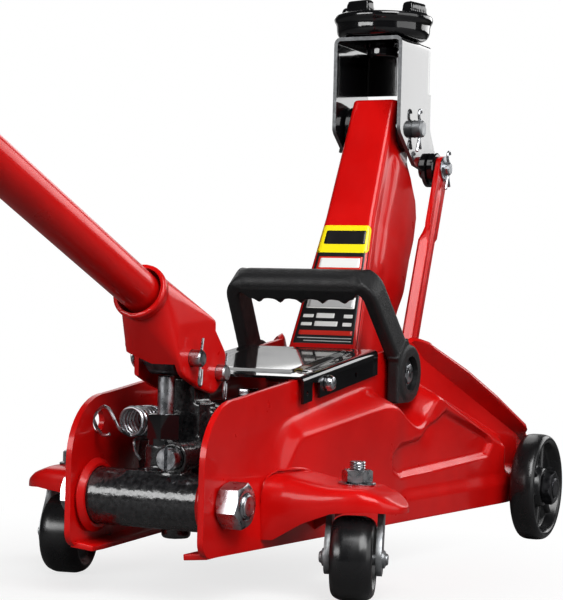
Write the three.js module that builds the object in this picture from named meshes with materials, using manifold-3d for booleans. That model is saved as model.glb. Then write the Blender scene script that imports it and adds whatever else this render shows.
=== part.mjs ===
// Two-tonne trolley jack, arm raised. Millimetres, +X towards the front wheels, +Y left, +Z up.
// The parts are laid out from the front axle (x = 0, floor z = 0); the group is then moved so that
// its origin is on the floor under the middle of the whole jack.
import * as THREE from 'three';
import { mergeVertices } from 'three/addons/utils/BufferGeometryUtils.js';
import Module from 'manifold-3d';

const wasm = await Module();
wasm.setup();

// ---- driving dimensions -------------------------------------------------------------------------
const GAP = 0.3;                      // running gap between touching pieces
const SHEET = 3;                      // pressed steel thickness
const SADDLE_TOP = 320;               // lift height, arm raised
const ARM_PIVOT = [-125, 102];        // x, z
const MAIN_PIN = [-57, 244];          // arm to saddle bracket
const LINK_OFFSET = [28, -21.5];      // link pin measured from the main pin, and from the arm pivot
const LINK_TOP = [MAIN_PIN[0] + LINK_OFFSET[0], MAIN_PIN[1] + LINK_OFFSET[1]];
const LINK_FOOT = [ARM_PIVOT[0] + LINK_OFFSET[0], ARM_PIVOT[1] + LINK_OFFSET[1]];
const ARM_ANGLE = Math.atan2(MAIN_PIN[1] - ARM_PIVOT[1], MAIN_PIN[0] - ARM_PIVOT[0]);
const ARM_LENGTH = Math.hypot(MAIN_PIN[0] - ARM_PIVOT[0], MAIN_PIN[1] - ARM_PIVOT[1]);
const CRANK_RADIUS = 42;
const CRANK_ANGLE = THREE.MathUtils.degToRad(-48);
const CRANK_PIN = [ARM_PIVOT[0] + CRANK_RADIUS * Math.cos(CRANK_ANGLE),
  ARM_PIVOT[1] + CRANK_RADIUS * Math.sin(CRANK_ANGLE)];

const REAR_X = -341;                  // rear edge of the side plates
const FRONT_X = 14;                   // front edge of the side plates
const PLATE_BOTTOM = 23;
const NARROW = 36.5;                  // outer half width of the frame at the rear
const WIDE = 71;                      // outer half width at the front wheels
const TRUNNION = [-321, 46.4];
const TRUNNION_RADIUS = 14;
const CYLINDER_AXIS_Z = 66;
const FULCRUM = [-286, 105];
const ROLLER = [-313, 112.5];
const PLUNGER_X = -312.5;
const PLUNGER_TOP = 103.8;           // just under the roller
const SCREW = [-12, 66.4];            // release screw: y, z
const SOCKET_MOUTH = [-341, 143.5];
const HANDLE_ANGLE = THREE.MathUtils.degToRad(22.9);
const HANDLE_RADIUS = 9.6;

const FRONT_WHEEL_RADIUS = 31.8;
const FRONT_WHEEL_FACE = 91.4;        // outer face, from the middle plane
const FRONT_WHEEL_WIDTH = 14.9;
const CASTER_X = -264;
const CASTER_Y = 78;
const CASTER_TRAIL = 9;
const CASTER_RADIUS = 20;
const CASTER_WIDTH = 21;
const CASTER_TURN = { left: 12, right: 18 };   // degrees from straight ahead, as the jack stands at rest

const COVER_REAR = [-248, 103];       // x and top face z
const COVER_FRONT = [-153.5, 115.2];
const COVER_HALF = 41.5;
const COVER_SHEET = 1.2;
const COVER_SCREW = [-220, 99.3];

// ---- materials ----------------------------------------------------------------------------------
const paint = (color, roughness, metalness) => () => new THREE.MeshStandardMaterial({ color, roughness, metalness });
const RED = paint(0xc41210, 0.25, 0.1);
const BLACK_PAINT = paint(0x111111, 0.3, 0.2);
const CASTING = paint(0x1a1a1a, 0.6, 0.3);
const ZINC = paint(0xb9bcc0, 0.3, 0.9);
const CHROME = paint(0xd8d8d8, 0.1, 1.0);
const DARK_STEEL = paint(0x4a4a4a, 0.4, 0.8);
const GREY_STEEL = paint(0x8c8f92, 0.45, 0.8);
const WHEEL_BLACK = paint(0x141414, 0.4, 0.0);
const PLASTIC = paint(0x1c1c1c, 0.7, 0.0);

// ---- solids -------------------------------------------------------------------------------------
function solid(geometry) {
  const bare = geometry.clone();
  bare.deleteAttribute('normal');
  bare.deleteAttribute('uv');
  const merged = mergeVertices(bare, 1e-4);
  return new wasm.Manifold(new wasm.Mesh({
    numProp: 3,
    vertProperties: new Float32Array(merged.attributes.position.array),
    triVerts: new Uint32Array(merged.index.array),
  }));
}

function geometryOf(manifold) {
  const mesh = manifold.getMesh();
  const geometry = new THREE.BufferGeometry();
  geometry.setAttribute('position', new THREE.BufferAttribute(new Float32Array(mesh.vertProperties), 3));
  geometry.setIndex(new THREE.BufferAttribute(new Uint32Array(mesh.triVerts), 1));
  geometry.computeVertexNormals();
  return geometry;
}

const join = (...parts) => parts.reduce((sum, part) => sum.add(part));
const cut = (body, ...tools) => tools.reduce((left, tool) => left.subtract(tool), body);

function block(x0, x1, y0, y1, z0, z1) {
  const geometry = new THREE.BoxGeometry(x1 - x0, y1 - y0, z1 - z0);
  geometry.translate((x0 + x1) / 2, (y0 + y1) / 2, (z0 + z1) / 2);
  return solid(geometry);
}

// A round bar from one point to another.
function bar(from, to, radius, sides = 20, endRadius = radius) {
  const start = new THREE.Vector3(...from);
  const end = new THREE.Vector3(...to);
  const geometry = new THREE.CylinderGeometry(endRadius, radius, start.distanceTo(end), sides);
  const turn = new THREE.Quaternion().setFromUnitVectors(
    new THREE.Vector3(0, 1, 0), end.clone().sub(start).normalize());
  geometry.applyQuaternion(turn);
  const middle = start.clone().add(end).multiplyScalar(0.5);
  geometry.translate(middle.x, middle.y, middle.z);
  return solid(geometry);
}

const barY = (x, z, y0, y1, radius, sides = 20) => bar([x, y0, z], [x, y1, z], radius, sides);
const barZ = (x, y, z0, z1, radius, sides = 20) => bar([x, y, z0], [x, y, z1], radius, sides);
const nutY = (x, z, y0, y1, flats) => barY(x, z, y0, y1, flats / Math.sqrt(3), 6);
const nutZ = (x, y, z0, z1, flats) => barZ(x, y, z0, z1, flats / Math.sqrt(3), 6);

function shapeOf(outline) {
  return outline instanceof THREE.Shape ? outline
    : new THREE.Shape(outline.map(([a, b]) => new THREE.Vector2(a, b)));
}

function slab(outline, depth, curveSegments = 8) {
  return new THREE.ExtrudeGeometry(shapeOf(outline), { depth, bevelEnabled: false, curveSegments });
}

// An outline in x, z, given thickness from y0 to y1.
function plateXZ(outline, y0, y1, curveSegments = 8) {
  const geometry = slab(outline, y1 - y0, curveSegments);
  geometry.rotateX(Math.PI / 2);
  geometry.translate(0, y1, 0);
  return solid(geometry);
}

// An outline in y, z, given thickness from x0 to x1.
function plateYZ(outline, x0, x1, curveSegments = 8) {
  const geometry = slab(outline, x1 - x0, curveSegments);
  geometry.rotateX(Math.PI / 2);
  geometry.rotateZ(Math.PI / 2);
  geometry.translate(x0, 0, 0);
  return solid(geometry);
}

// An outline in x, y, given thickness from z0 to z1.
function plateXY(outline, z0, z1, curveSegments = 8) {
  const geometry = slab(outline, z1 - z0, curveSegments);
  geometry.translate(0, 0, z0);
  return solid(geometry);
}

// A profile of radius, height turned about the y axis.
function turned(profile, sides = 28) {
  return solid(new THREE.LatheGeometry(profile.map(([r, h]) => new THREE.Vector2(r, h)), sides));
}

// Wire or rod of round section along a curve.
function wire(curve, radius, steps, sides = 5) {
  const ring = new THREE.Shape();
  for (let i = 0; i < sides; i += 1) {
    const angle = (2 * Math.PI * i) / sides;
    const [a, b] = [radius * Math.cos(angle), radius * Math.sin(angle)];
    if (i === 0) ring.moveTo(a, b);
    else ring.lineTo(a, b);
  }
  ring.closePath();
  return solid(new THREE.ExtrudeGeometry(ring, { steps, extrudePath: curve, bevelEnabled: false }));
}

// A bent sheet over a grid: low(i, j) and high(i, j) are the points on its two faces.
function sheet(columns, rows, low, high) {
  const geometry = new THREE.BoxGeometry(1, 1, 1, columns, 1, rows);
  const position = geometry.attributes.position;
  for (let n = 0; n < position.count; n += 1) {
    const i = Math.round((position.getX(n) + 0.5) * columns);
    const j = Math.round((position.getZ(n) + 0.5) * rows);
    const point = position.getY(n) < 0 ? low(i, j) : high(i, j);
    position.setXYZ(n, ...point);
  }
  return solid(geometry);
}

const mirrored = (part) => part.mirror([0, 1, 0]);
const clamp01 = (t) => Math.min(1, Math.max(0, t));
const smooth = (t) => clamp01(t) ** 2 * (3 - 2 * clamp01(t));
const lerp = (a, b, t) => a + (b - a) * t;

const jack = new THREE.Group();

function add(parent, name, part, material) {
  const mesh = new THREE.Mesh(geometryOf(part), material());
  mesh.name = name;
  parent.add(mesh);
  return mesh;
}

// The same piece on the left (+y) and on the right.
function addPair(parent, name, part, material) {
  add(parent, `left_${name}`, part, material);
  add(parent, `right_${name}`, mirrored(part), material);
}

// ---- side plates --------------------------------------------------------------------------------
const REAR_TOP_RADIUS = 30;
const REAR_FOOT_RADIUS = 8;
const REAR_TOP_Z = 94;                // plate height where the rear radius ends
const PEAK = [-103, 118.5];           // highest point, above the arm pivot
const NOSE_TOP_Z = 62;                // plate height at its front edge
const RIDGE_WIDTH = 13;
const BOSS_DIP = 20;
const BOSS_DIP_LENGTH = 24;

function plateTop(x) {
  const arcEnd = REAR_X + REAR_TOP_RADIUS;
  if (x < arcEnd) {
    return REAR_TOP_Z - REAR_TOP_RADIUS + Math.sqrt(Math.max(0, REAR_TOP_RADIUS ** 2 - (arcEnd - x) ** 2));
  }
  if (x < PEAK[0]) return lerp(REAR_TOP_Z, PEAK[1], (x - arcEnd) / (PEAK[0] - arcEnd));
  return lerp(PEAK[1], NOSE_TOP_Z, (x - PEAK[0]) / (FRONT_X - PEAK[0]));
}

function plateFoot(x) {
  const arcEnd = REAR_X + REAR_FOOT_RADIUS;
  if (x >= arcEnd) return PLATE_BOTTOM;
  return PLATE_BOTTOM + REAR_FOOT_RADIUS - Math.sqrt(Math.max(0, REAR_FOOT_RADIUS ** 2 - (arcEnd - x) ** 2));
}

// Outer half width: narrow above the ridge, spreading below it towards the front wheels.
function narrowHalf(x) {
  return NARROW + 4.5 * clamp01((x + 300) / 195) + 28 * clamp01((x + 105) / 110);
}

function wideHalf(x) {
  return Math.max(narrowHalf(x), NARROW + (WIDE - NARROW) * clamp01((x + 325) / 307));
}

// The ridge climbs towards the front and dips under the carry handle's boss.
function ridgeZ(x) {
  const dip = BOSS_DIP * Math.exp(-(((x - ARM_PIVOT[0]) / BOSS_DIP_LENGTH) ** 2));
  return Math.min(83 + (x + 261) * 0.145 - dip, plateTop(x) - 3);
}

function plateHalf(x, z) {
  return lerp(narrowHalf(x), wideHalf(x), smooth((ridgeZ(x) - z) / RIDGE_WIDTH));
}

function plateStations() {
  const stations = [];
  for (let i = 0; i <= 5; i += 1) stations.push(REAR_X + REAR_TOP_RADIUS * (1 - Math.cos((i * Math.PI) / 10)));
  stations.splice(1, 0, REAR_X + 2.3);
  stations.push(-285, -258, -230, -204, -180, -162, -149, -137, -125, -114, PEAK[0], -92, -76, -56, -35, -10, FRONT_X);
  return stations;
}

const PLATE_X = plateStations();

// Heights of the plate's grid rows at x: closer together across the slope under the ridge.
function rowHeights(x) {
  const [foot, ridge, top] = [plateFoot(x), ridgeZ(x), plateTop(x)];
  const slopeFoot = Math.max(ridge - RIDGE_WIDTH, lerp(foot, ridge, 0.4));
  const slope = [0, 0.25, 0.5, 0.75, 1].map((t) => lerp(slopeFoot, ridge, t));
  return [foot, lerp(foot, slopeFoot, 0.5), ...slope, lerp(ridge, top, 0.5), top];
}

const PLATE_ROWS = 8;

function wallPoint(i, j, inset) {
  const x = PLATE_X[i];
  const z = rowHeights(x)[j];
  return [x, plateHalf(x, z) - inset, z];
}

// A strip along the plate's edge: `from` and `to` give the section's two ends at each station.
function strip(stations, from, to, thickness) {
  const side = (i, j, lift) => {
    const [y, z] = j === 0 ? to(stations[i]) : from(stations[i]);
    return [stations[i], y, z + lift];
  };
  return sheet(stations.length - 1, 1, (i, j) => side(i, j, 0), (i, j) => side(i, j, thickness));
}

function sidePlate() {
  const wall = sheet(PLATE_X.length - 1, PLATE_ROWS,
    (i, j) => wallPoint(i, j, SHEET), (i, j) => wallPoint(i, j, 0));
  const footStations = [REAR_X + 6, -270, -200, -130, -60, FRONT_X - 4];
  const foot = strip(footStations,
    (x) => [wideHalf(x) - 12, PLATE_BOTTOM - 2], (x) => [wideHalf(x) - 0.6, PLATE_BOTTOM], SHEET);
  const lip = strip([PEAK[0] + 3, -80, -55, -30, -8, 8],
    (x) => [plateHalf(x, plateTop(x)) - 2.4, plateTop(x) - 3],
    (x) => [plateHalf(x, plateTop(x)) + 12, plateTop(x) + 3], SHEET);
  return cut(join(wall, foot, lip),
    barY(TRUNNION[0], TRUNNION[1], 20, 60, 6.4),
    barY(ARM_PIVOT[0], ARM_PIVOT[1], 20, 60, 7.4),
    barY(0, FRONT_WHEEL_RADIUS, 40, 90, 6.4));
}

const SPRING_HOLE = [-317.5, 81.2];
const plate = sidePlate();
add(jack, 'left_side_plate', cut(plate, barY(SPRING_HOLE[0], SPRING_HOLE[1], 20, 60, 5.4, 20)), RED);
add(jack, 'right_side_plate', mirrored(plate), RED);

// ---- caster brackets and casters ----------------------------------------------------------------
const HORN_REAR = -290;
const HORN_FRONT = -238;
const HORN_TIP_RADIUS = 19.5;
const HORN_TIP = 103.7;
const HORN_ROOT = 34;
const HORN_TOP = 54;                  // flat pad under the nut

function hornPlan(inset) {
  const radius = HORN_TIP_RADIUS - inset;
  const [rear, front] = [HORN_REAR + inset, HORN_FRONT - inset];
  const centre = (rear + front) / 2;
  const shape = new THREE.Shape();
  shape.moveTo(rear, HORN_ROOT);
  shape.lineTo(front, HORN_ROOT);
  shape.lineTo(centre + radius, HORN_TIP - HORN_TIP_RADIUS);
  shape.absarc(centre, HORN_TIP - HORN_TIP_RADIUS, radius, 0, Math.PI, false);
  shape.closePath();
  return shape;
}

function hornSection(drop, floor) {
  const top = [[HORN_ROOT, 58], [58, 56.5], [67, HORN_TOP], [89, HORN_TOP], [98, 50], [HORN_TIP + 1, 44.5]];
  const edge = floor ? [[HORN_TIP + 1, 0], [HORN_ROOT, 0]]
    : [[HORN_TIP + 1, 40], [78, 43], [62, 36], [46, 27], [HORN_ROOT, 27]];
  return [...top.map(([y, z]) => [y, z - drop]), ...edge].reverse();
}

function casterBracket() {
  const outer = plateYZ(hornSection(0, false), -300, -220).intersect(plateXY(hornPlan(0), 0, 100, 10));
  const inner = plateYZ(hornSection(SHEET, true), -300, -220).intersect(plateXY(hornPlan(SHEET), -1, 100, 10));
  const frame = sheet(PLATE_X.length - 1, PLATE_ROWS,
    (i, j) => [PLATE_X[i], 10, wallPoint(i, j, 0)[2]], (i, j) => wallPoint(i, j, -GAP));
  const shell = cut(outer, inner, frame, barZ(CASTER_X, CASTER_Y, 30, 80, 4.3));
  const clip = block(-300, -220, HORN_ROOT, HORN_ROOT + 2, 0, 80);
  return cut(shell, clip);
}

const FORK_TOP = 48;
const FORK_HALF = 6.5;                // half width of the fork's top, along x
const FORK_LEG = 2.3;                 // leg thickness

function casterFork() {
  const half = CASTER_WIDTH / 2 + 0.8;
  const axleX = CASTER_X - CASTER_TRAIL;
  const leg = new THREE.Shape();
  leg.moveTo(CASTER_X - FORK_HALF, FORK_TOP);
  leg.lineTo(axleX - 8, CASTER_RADIUS);
  leg.absarc(axleX, CASTER_RADIUS, 8, Math.PI, 2 * Math.PI, false);
  leg.lineTo(CASTER_X + FORK_HALF, FORK_TOP);
  leg.closePath();
  const side = plateXZ(leg, CASTER_Y + half, CASTER_Y + half + FORK_LEG);
  const top = block(CASTER_X - FORK_HALF, CASTER_X + FORK_HALF, CASTER_Y - half - FORK_LEG, CASTER_Y + half + FORK_LEG,
    FORK_TOP - 2.8, FORK_TOP);
  const other = side.translate([0, -2 * half - FORK_LEG, 0]);
  return cut(join(top, side, other), barZ(CASTER_X, CASTER_Y, 30, 60, 4.3),
    barY(axleX, CASTER_RADIUS, CASTER_Y - 20, CASTER_Y + 20, 3.3));
}

function casterWheel() {
  const w = CASTER_WIDTH / 2 - 0.6;
  const r = CASTER_RADIUS;
  const profile = [[3.4, -w + 2], [8, -w + 2], [14, -w + 3.5], [16, -w], [r - 2, -w + 0.8], [r, -w + 5],
    [r, w - 5], [r - 2, w - 0.8], [16, w], [14, w - 3.5], [8, w - 2], [3.4, w - 2], [3.4, -w + 2]];
  return turned(profile, 28).translate([CASTER_X - CASTER_TRAIL, CASTER_Y, r]);
}

const casterAxle = () => {
  const [x, z, reach] = [CASTER_X - CASTER_TRAIL, CASTER_RADIUS, CASTER_WIDTH / 2 + 4.4];
  return join(barY(x, z, CASTER_Y - reach - 2, CASTER_Y + reach + 2, 3, 16),
    barY(x, z, CASTER_Y + reach, CASTER_Y + reach + 3.6, 4.6, 16),
    barY(x, z, CASTER_Y - reach - 3.6, CASTER_Y - reach, 4.6, 16));
};

// The stem bolt has a broad shoulder between the fork and the bracket, on which the fork turns.
const casterBolt = () => join(
  nutZ(CASTER_X, CASTER_Y, FORK_TOP - 5.8, FORK_TOP - 2.8 - GAP, 12),
  barZ(CASTER_X, CASTER_Y, FORK_TOP - 4, HORN_TOP + 9.5, 4, 16),
  barZ(CASTER_X, CASTER_Y, FORK_TOP + GAP, HORN_TOP - SHEET - GAP, 9, 24));
const casterNut = () => cut(nutZ(CASTER_X, CASTER_Y, HORN_TOP + GAP, HORN_TOP + 6.8, 13),
  barZ(CASTER_X, CASTER_Y, 50, 70, 4.3, 16));

const swivelled = (part, y, degrees) => part.translate([-CASTER_X, -y, 0]).rotate([0, 0, degrees])
  .translate([CASTER_X, y, 0]);

function addCasters(name, part, material) {
  add(jack, `left_${name}`, swivelled(part, CASTER_Y, CASTER_TURN.left), material);
  add(jack, `right_${name}`, swivelled(mirrored(part), -CASTER_Y, CASTER_TURN.right), material);
}

addPair(jack, 'caster_bracket', casterBracket(), RED);
addCasters('caster_fork', casterFork(), GREY_STEEL);
addCasters('caster_wheel', casterWheel(), WHEEL_BLACK);
addCasters('caster_axle', casterAxle(), GREY_STEEL);
addPair(jack, 'caster_bolt', casterBolt(), ZINC);
addPair(jack, 'caster_nut', casterNut(), ZINC);

// ---- front axle and wheels ----------------------------------------------------------------------
function frontWheel() {
  const outer = FRONT_WHEEL_FACE;
  const inner = outer - FRONT_WHEEL_WIDTH;
  const r = FRONT_WHEEL_RADIUS;
  const profile = [[6.4, inner], [10, inner], [12, inner + 5], [24, inner + 5], [27, inner], [r - 1.5, inner + 0.6],
    [r, inner + 3], [r, outer - 3.5], [r - 1.5, outer - 0.8], [28.5, outer], [26.5, outer - 1.5], [24.5, outer - 7],
    [12, outer - 6.5], [10, outer - 2], [6.4, outer - 2], [6.4, inner]];
  return turned(profile, 40).translate([0, 0, r]);
}

addPair(jack, 'front_wheel', frontWheel(), WHEEL_BLACK);
add(jack, 'front_axle', join(barY(0, FRONT_WHEEL_RADIUS, -94, 94, 6, 20),
  barY(0, FRONT_WHEEL_RADIUS, 72.5, 76, 9, 20), barY(0, FRONT_WHEEL_RADIUS, -76, -72.5, 9, 20)), GREY_STEEL);
addPair(jack, 'axle_nut', cut(nutY(0, FRONT_WHEEL_RADIUS, 89.7, 95.5, 18),
  barY(0, FRONT_WHEEL_RADIUS, 80, 94.3, 6.3)), DARK_STEEL);

// ---- hydraulic unit -----------------------------------------------------------------------------
const CYLINDER_RADIUS = 25;
const CYLINDER = [-284, -182];        // rear and front end of the reservoir, x
const RAM_REAR = -218;                // leaves room for the ram to draw back with the arm lowered
const SCREW_SEAT = -325;              // x of the release screw's head, behind the plunger's bore
const COLUMN_REAR = -301;
const EAR_HALF = 10.2;                // the fulcrum ear fills the space between the socket's cheeks

function pumpBlock() {
  const tube = barY(TRUNNION[0], TRUNNION[1], -32.8, 32.8, TRUNNION_RADIUS, 28);
  const base = block(-331, CYLINDER[0], -15, 15, 42, 62);
  const flange = bar([-292, 0, CYLINDER_AXIS_Z - 2], [CYLINDER[0] - GAP, 0, CYLINDER_AXIS_Z - 2], 27, 28);
  const column = block(COLUMN_REAR, -284.3, -12, 6.5, 50, 91);
  const neck = block(COLUMN_REAR, -284.3, -9, 6.5, 88, 104);
  const ear = barY(FULCRUM[0], FULCRUM[1], -EAR_HALF, EAR_HALF, 9.5, 20);
  const plungerBoss = barZ(PLUNGER_X, 0, 50, 72, 9, 20);
  const plungerWeb = block(PLUNGER_X, -295, -8, 8, 50, 72);
  const valveBoss = bar([-300, SCREW[0], SCREW[1]], [SCREW_SEAT - 2, SCREW[0], SCREW[1]], 7.5, 20);
  const drainBoss = barZ(-305, -3, 27, 45, 7, 16);
  const body = join(tube, base, flange, column, neck, ear, plungerBoss, plungerWeb, valveBoss, drainBoss);
  return cut(body,
    barY(TRUNNION[0], TRUNNION[1], -40, 40, 6.3),
    barY(FULCRUM[0], FULCRUM[1], -20, 20, 4.3, 16),
    barZ(PLUNGER_X, 0, 61, 120, 4.3, 16),
    barZ(PLUNGER_X, 0, 72, 90, 9, 20),
    bar([-345, SCREW[0], SCREW[1]], [SCREW_SEAT, SCREW[0], SCREW[1]], 6.2, 20),
    bar([-345, SCREW[0], SCREW[1]], [-301, SCREW[0], SCREW[1]], 3.3, 16));
}

function releaseValve() {
  const head = bar([SCREW_SEAT - 8, SCREW[0], SCREW[1]], [SCREW_SEAT - GAP, SCREW[0], SCREW[1]], 5.4, 20);
  const stem = bar([SCREW_SEAT - 2, SCREW[0], SCREW[1]], [-303, SCREW[0], SCREW[1]], 3, 16);
  const slot = block(SCREW_SEAT - 9, SCREW_SEAT - 5, SCREW[0] - 1.1, SCREW[0] + 1.1, SCREW[1] - 8, SCREW[1] + 8);
  return cut(join(head, stem), slot);
}

add(jack, 'pump_block', pumpBlock(), CASTING);
add(jack, 'release_valve', releaseValve(), ZINC);
add(jack, 'gland_nut', cut(join(nutZ(PLUNGER_X, 0, 73.6, 86, 15), barZ(PLUNGER_X, 0, 72.3, 74, 7.6)),
  barZ(PLUNGER_X, 0, 60, 90, 4.3, 16)), BLACK_PAINT);
add(jack, 'plunger', join(barZ(PLUNGER_X, 0, 74, PLUNGER_TOP - 4, 3.9, 16),
  barZ(PLUNGER_X, 0, PLUNGER_TOP - 4.1, PLUNGER_TOP, 3.4, 16)), CHROME);
add(jack, 'reservoir_cylinder', cut(
  bar([CYLINDER[0], 0, CYLINDER_AXIS_Z], [CYLINDER[1], 0, CYLINDER_AXIS_Z], CYLINDER_RADIUS, 32),
  bar([CYLINDER[0] + 6, 0, CYLINDER_AXIS_Z], [CYLINDER[1] + 1, 0, CYLINDER_AXIS_Z], 20, 24)), BLACK_PAINT);
add(jack, 'cylinder_cap', cut(join(
  bar([CYLINDER[1] + GAP, 0, CYLINDER_AXIS_Z], [CYLINDER[1] + 7, 0, CYLINDER_AXIS_Z], 22, 8),
  bar([CYLINDER[1] - 8, 0, CYLINDER_AXIS_Z], [CYLINDER[1] + 1, 0, CYLINDER_AXIS_Z], 19.6, 24)),
  bar([CYLINDER[1] - 20, 0, CYLINDER_AXIS_Z], [CYLINDER[1] + 20, 0, CYLINDER_AXIS_Z], 10.3, 24)), DARK_STEEL);
add(jack, 'oil_plug', nutZ(-226, 0, CYLINDER_AXIS_Z + CYLINDER_RADIUS + GAP, CYLINDER_AXIS_Z + CYLINDER_RADIUS + 4, 10), ZINC);

// The ram's yoke has an upright slot for the crank pin, which rises and falls as the arm turns.
function ramYoke() {
  const body = block(CRANK_PIN[0] - 17, CRANK_PIN[0] + 8.5, -9, 9, 49, 83);
  return cut(body, block(CRANK_PIN[0] - 5.6, CRANK_PIN[0] + 5.6, -20, 20, 54.2, 78.6));
}

add(jack, 'ram', bar([RAM_REAR, 0, CYLINDER_AXIS_Z], [CRANK_PIN[0] - 17.3, 0, CYLINDER_AXIS_Z], 10, 24), CHROME);
add(jack, 'ram_yoke', ramYoke(), DARK_STEEL);

// A headed pin across the handle socket; its thin end takes a clip.
const SOCKET_HALF = 13.8;
const leverPin = ([x, z], end) => join(barY(x, z, end, SOCKET_HALF + GAP + 0.1, 4, 16),
  barY(x, z, SOCKET_HALF + GAP, SOCKET_HALF + 2.8, 6, 16));

add(jack, 'trunnion_bolt', join(barY(TRUNNION[0], TRUNNION[1], -49.5, 40, 6, 20),
  nutY(TRUNNION[0], TRUNNION[1], 38.6, 46, 19)), ZINC);
add(jack, 'trunnion_nut', cut(nutY(TRUNNION[0], TRUNNION[1], -48, -38.6, 19),
  barY(TRUNNION[0], TRUNNION[1], -60, -30, 6.3)), ZINC);
add(jack, 'fulcrum_pin', leverPin(FULCRUM, -18.5), DARK_STEEL);

// ---- cover --------------------------------------------------------------------------------------
function coverPlate() {
  const slope = (COVER_FRONT[1] - COVER_REAR[1]) / (COVER_FRONT[0] - COVER_REAR[0]);
  const at = (x, drop) => [x, COVER_REAR[1] + (x - COVER_REAR[0]) * slope - drop];
  const [rear, front] = [COVER_REAR[0], COVER_FRONT[0]];
  const top = plateXZ([at(rear, 0), at(rear, COVER_SHEET), at(front, COVER_SHEET), at(front, 0)].reverse(),
    -COVER_HALF, COVER_HALF);
  const flange = plateXZ([at(rear, 0), at(rear, 13), at(front - 2, 14), at(front, 0)].reverse(),
    COVER_HALF - 1.6, COVER_HALF);
  const panel = plateXZ([at(rear + 9, 0.2), at(front - 9, 0.2), at(front - 12, -2.4), at(rear + 12, -2.4)], -33, 33);
  const slot = block(rear + 10.5, rear + 19.5, -60, 60, at(rear + 15, 20)[1], at(rear + 15, 5)[1]);
  return cut(join(top, flange, mirrored(flange), panel), slot,
    barY(COVER_SCREW[0], COVER_SCREW[1], -60, 60, 2.4, 12));
}

add(jack, 'cover_plate', coverPlate(), BLACK_PAINT);
addPair(jack, 'cover_screw', join(barY(COVER_SCREW[0], COVER_SCREW[1], COVER_HALF + GAP, COVER_HALF + 4.4, 4.2, 16),
  barY(COVER_SCREW[0], COVER_SCREW[1], COVER_HALF - 1.2, COVER_HALF + 2, 2.1, 12)), ZINC);

// ---- lift arm -----------------------------------------------------------------------------------
// The arm is drawn along u, from its pivot to the main pin, and v, towards the web.
const crankU = CRANK_RADIUS * Math.cos(CRANK_ANGLE - ARM_ANGLE);
const crankV = CRANK_RADIUS * Math.sin(CRANK_ANGLE - ARM_ANGLE);

function arc(cu, cv, radius, from, to, steps) {
  const points = [];
  for (let i = 0; i <= steps; i += 1) {
    const angle = THREE.MathUtils.degToRad(lerp(from, to, i / steps));
    points.push([cu + radius * Math.cos(angle), cv + radius * Math.sin(angle)]);
  }
  return points;
}

// Walks round the cheek from the web's foot, by the pivot and the crank, to the main pin.
function armOutline() {
  return [
    [94, 17], [50, 16], [8, 15],
    ...arc(0, 0, 15, 110, 190, 3),
    ...arc(crankU, crankV, 10, 200, 300, 4),
    [48, -35], [104, -40], [126, -34], [133, -22], [137, -14],
    ...arc(ARM_LENGTH, 0, 14, -90, 20, 5),
    [ARM_LENGTH + 9.3, 17.8],
  ];
}

const ARM_PLAN = [[-60, 22], [0, 22], [90, 15.4], [150, 14], [190, 14]];   // u, half width

function inArmFrame(geometry) {
  const [c, s] = [Math.cos(ARM_ANGLE), Math.sin(ARM_ANGLE)];
  const matrix = new THREE.Matrix4().makeBasis(
    new THREE.Vector3(c, 0, s), new THREE.Vector3(-s, 0, c), new THREE.Vector3(0, -1, 0));
  matrix.setPosition(ARM_PIVOT[0], 0, ARM_PIVOT[1]);
  return solid(geometry.applyMatrix4(matrix));
}

// The side outline and the tapering plan, each drawn out long, meet in the arm's outer form.
function armSolid(outline, inset) {
  const side = slab(outline, 60, 1).translate(0, 0, -30);
  const half = ARM_PLAN.map(([u, w]) => [u, w - inset]);
  const plan = slab([...half.map(([u, w]) => [u, -w]), ...half.slice().reverse()], 160, 1);
  plan.rotateX(Math.PI / 2);
  plan.translate(0, 60, 0);
  return inArmFrame(side).intersect(inArmFrame(plan));
}

function liftArm() {
  const outer = armSolid(armOutline(), 0);
  const inner = armSolid([[170, 14.6], [94, 13.9], [50, 12.9], [8, 12], [-2, 18], [-40, 18], [-60, -80], [48, -80],
    [94, -80], [180, -80]], SHEET);
  return cut(outer, inner,
    barY(ARM_PIVOT[0], ARM_PIVOT[1], -40, 40, 8.3), barY(MAIN_PIN[0], MAIN_PIN[1], -40, 40, 5.3, 16),
    barY(CRANK_PIN[0], CRANK_PIN[1], -40, 40, 4.3, 16));
}

add(jack, 'lift_arm', liftArm(), RED);
add(jack, 'arm_pivot_shaft', join(barY(ARM_PIVOT[0], ARM_PIVOT[1], -36, 36, 8, 24),
  barY(ARM_PIVOT[0], ARM_PIVOT[1], -41.5, 41.5, 7, 24)), DARK_STEEL);
add(jack, 'crank_pin', barY(CRANK_PIN[0], CRANK_PIN[1], -24.5, 24.5, 4, 16), DARK_STEEL);

// ---- saddle, bracket and links ------------------------------------------------------------------
const BRACKET_HALF = 21.6;
const BRACKET_TOP = 296.6;
const BRACKET_X = [MAIN_PIN[0] - 23, MAIN_PIN[0] + 25.2];

function bracketSide() {
  const [px, pz] = MAIN_PIN;
  const shape = new THREE.Shape();
  shape.moveTo(BRACKET_X[0], pz - 3);
  shape.lineTo(px + 20, pz - 35);
  shape.absarc(LINK_TOP[0], LINK_TOP[1], 11, THREE.MathUtils.degToRad(-115), THREE.MathUtils.degToRad(35), false);
  shape.lineTo(BRACKET_X[1], pz + 2);
  shape.lineTo(BRACKET_X[1], BRACKET_TOP);
  shape.lineTo(BRACKET_X[0], BRACKET_TOP);
  shape.closePath();
  return shape;
}

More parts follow.
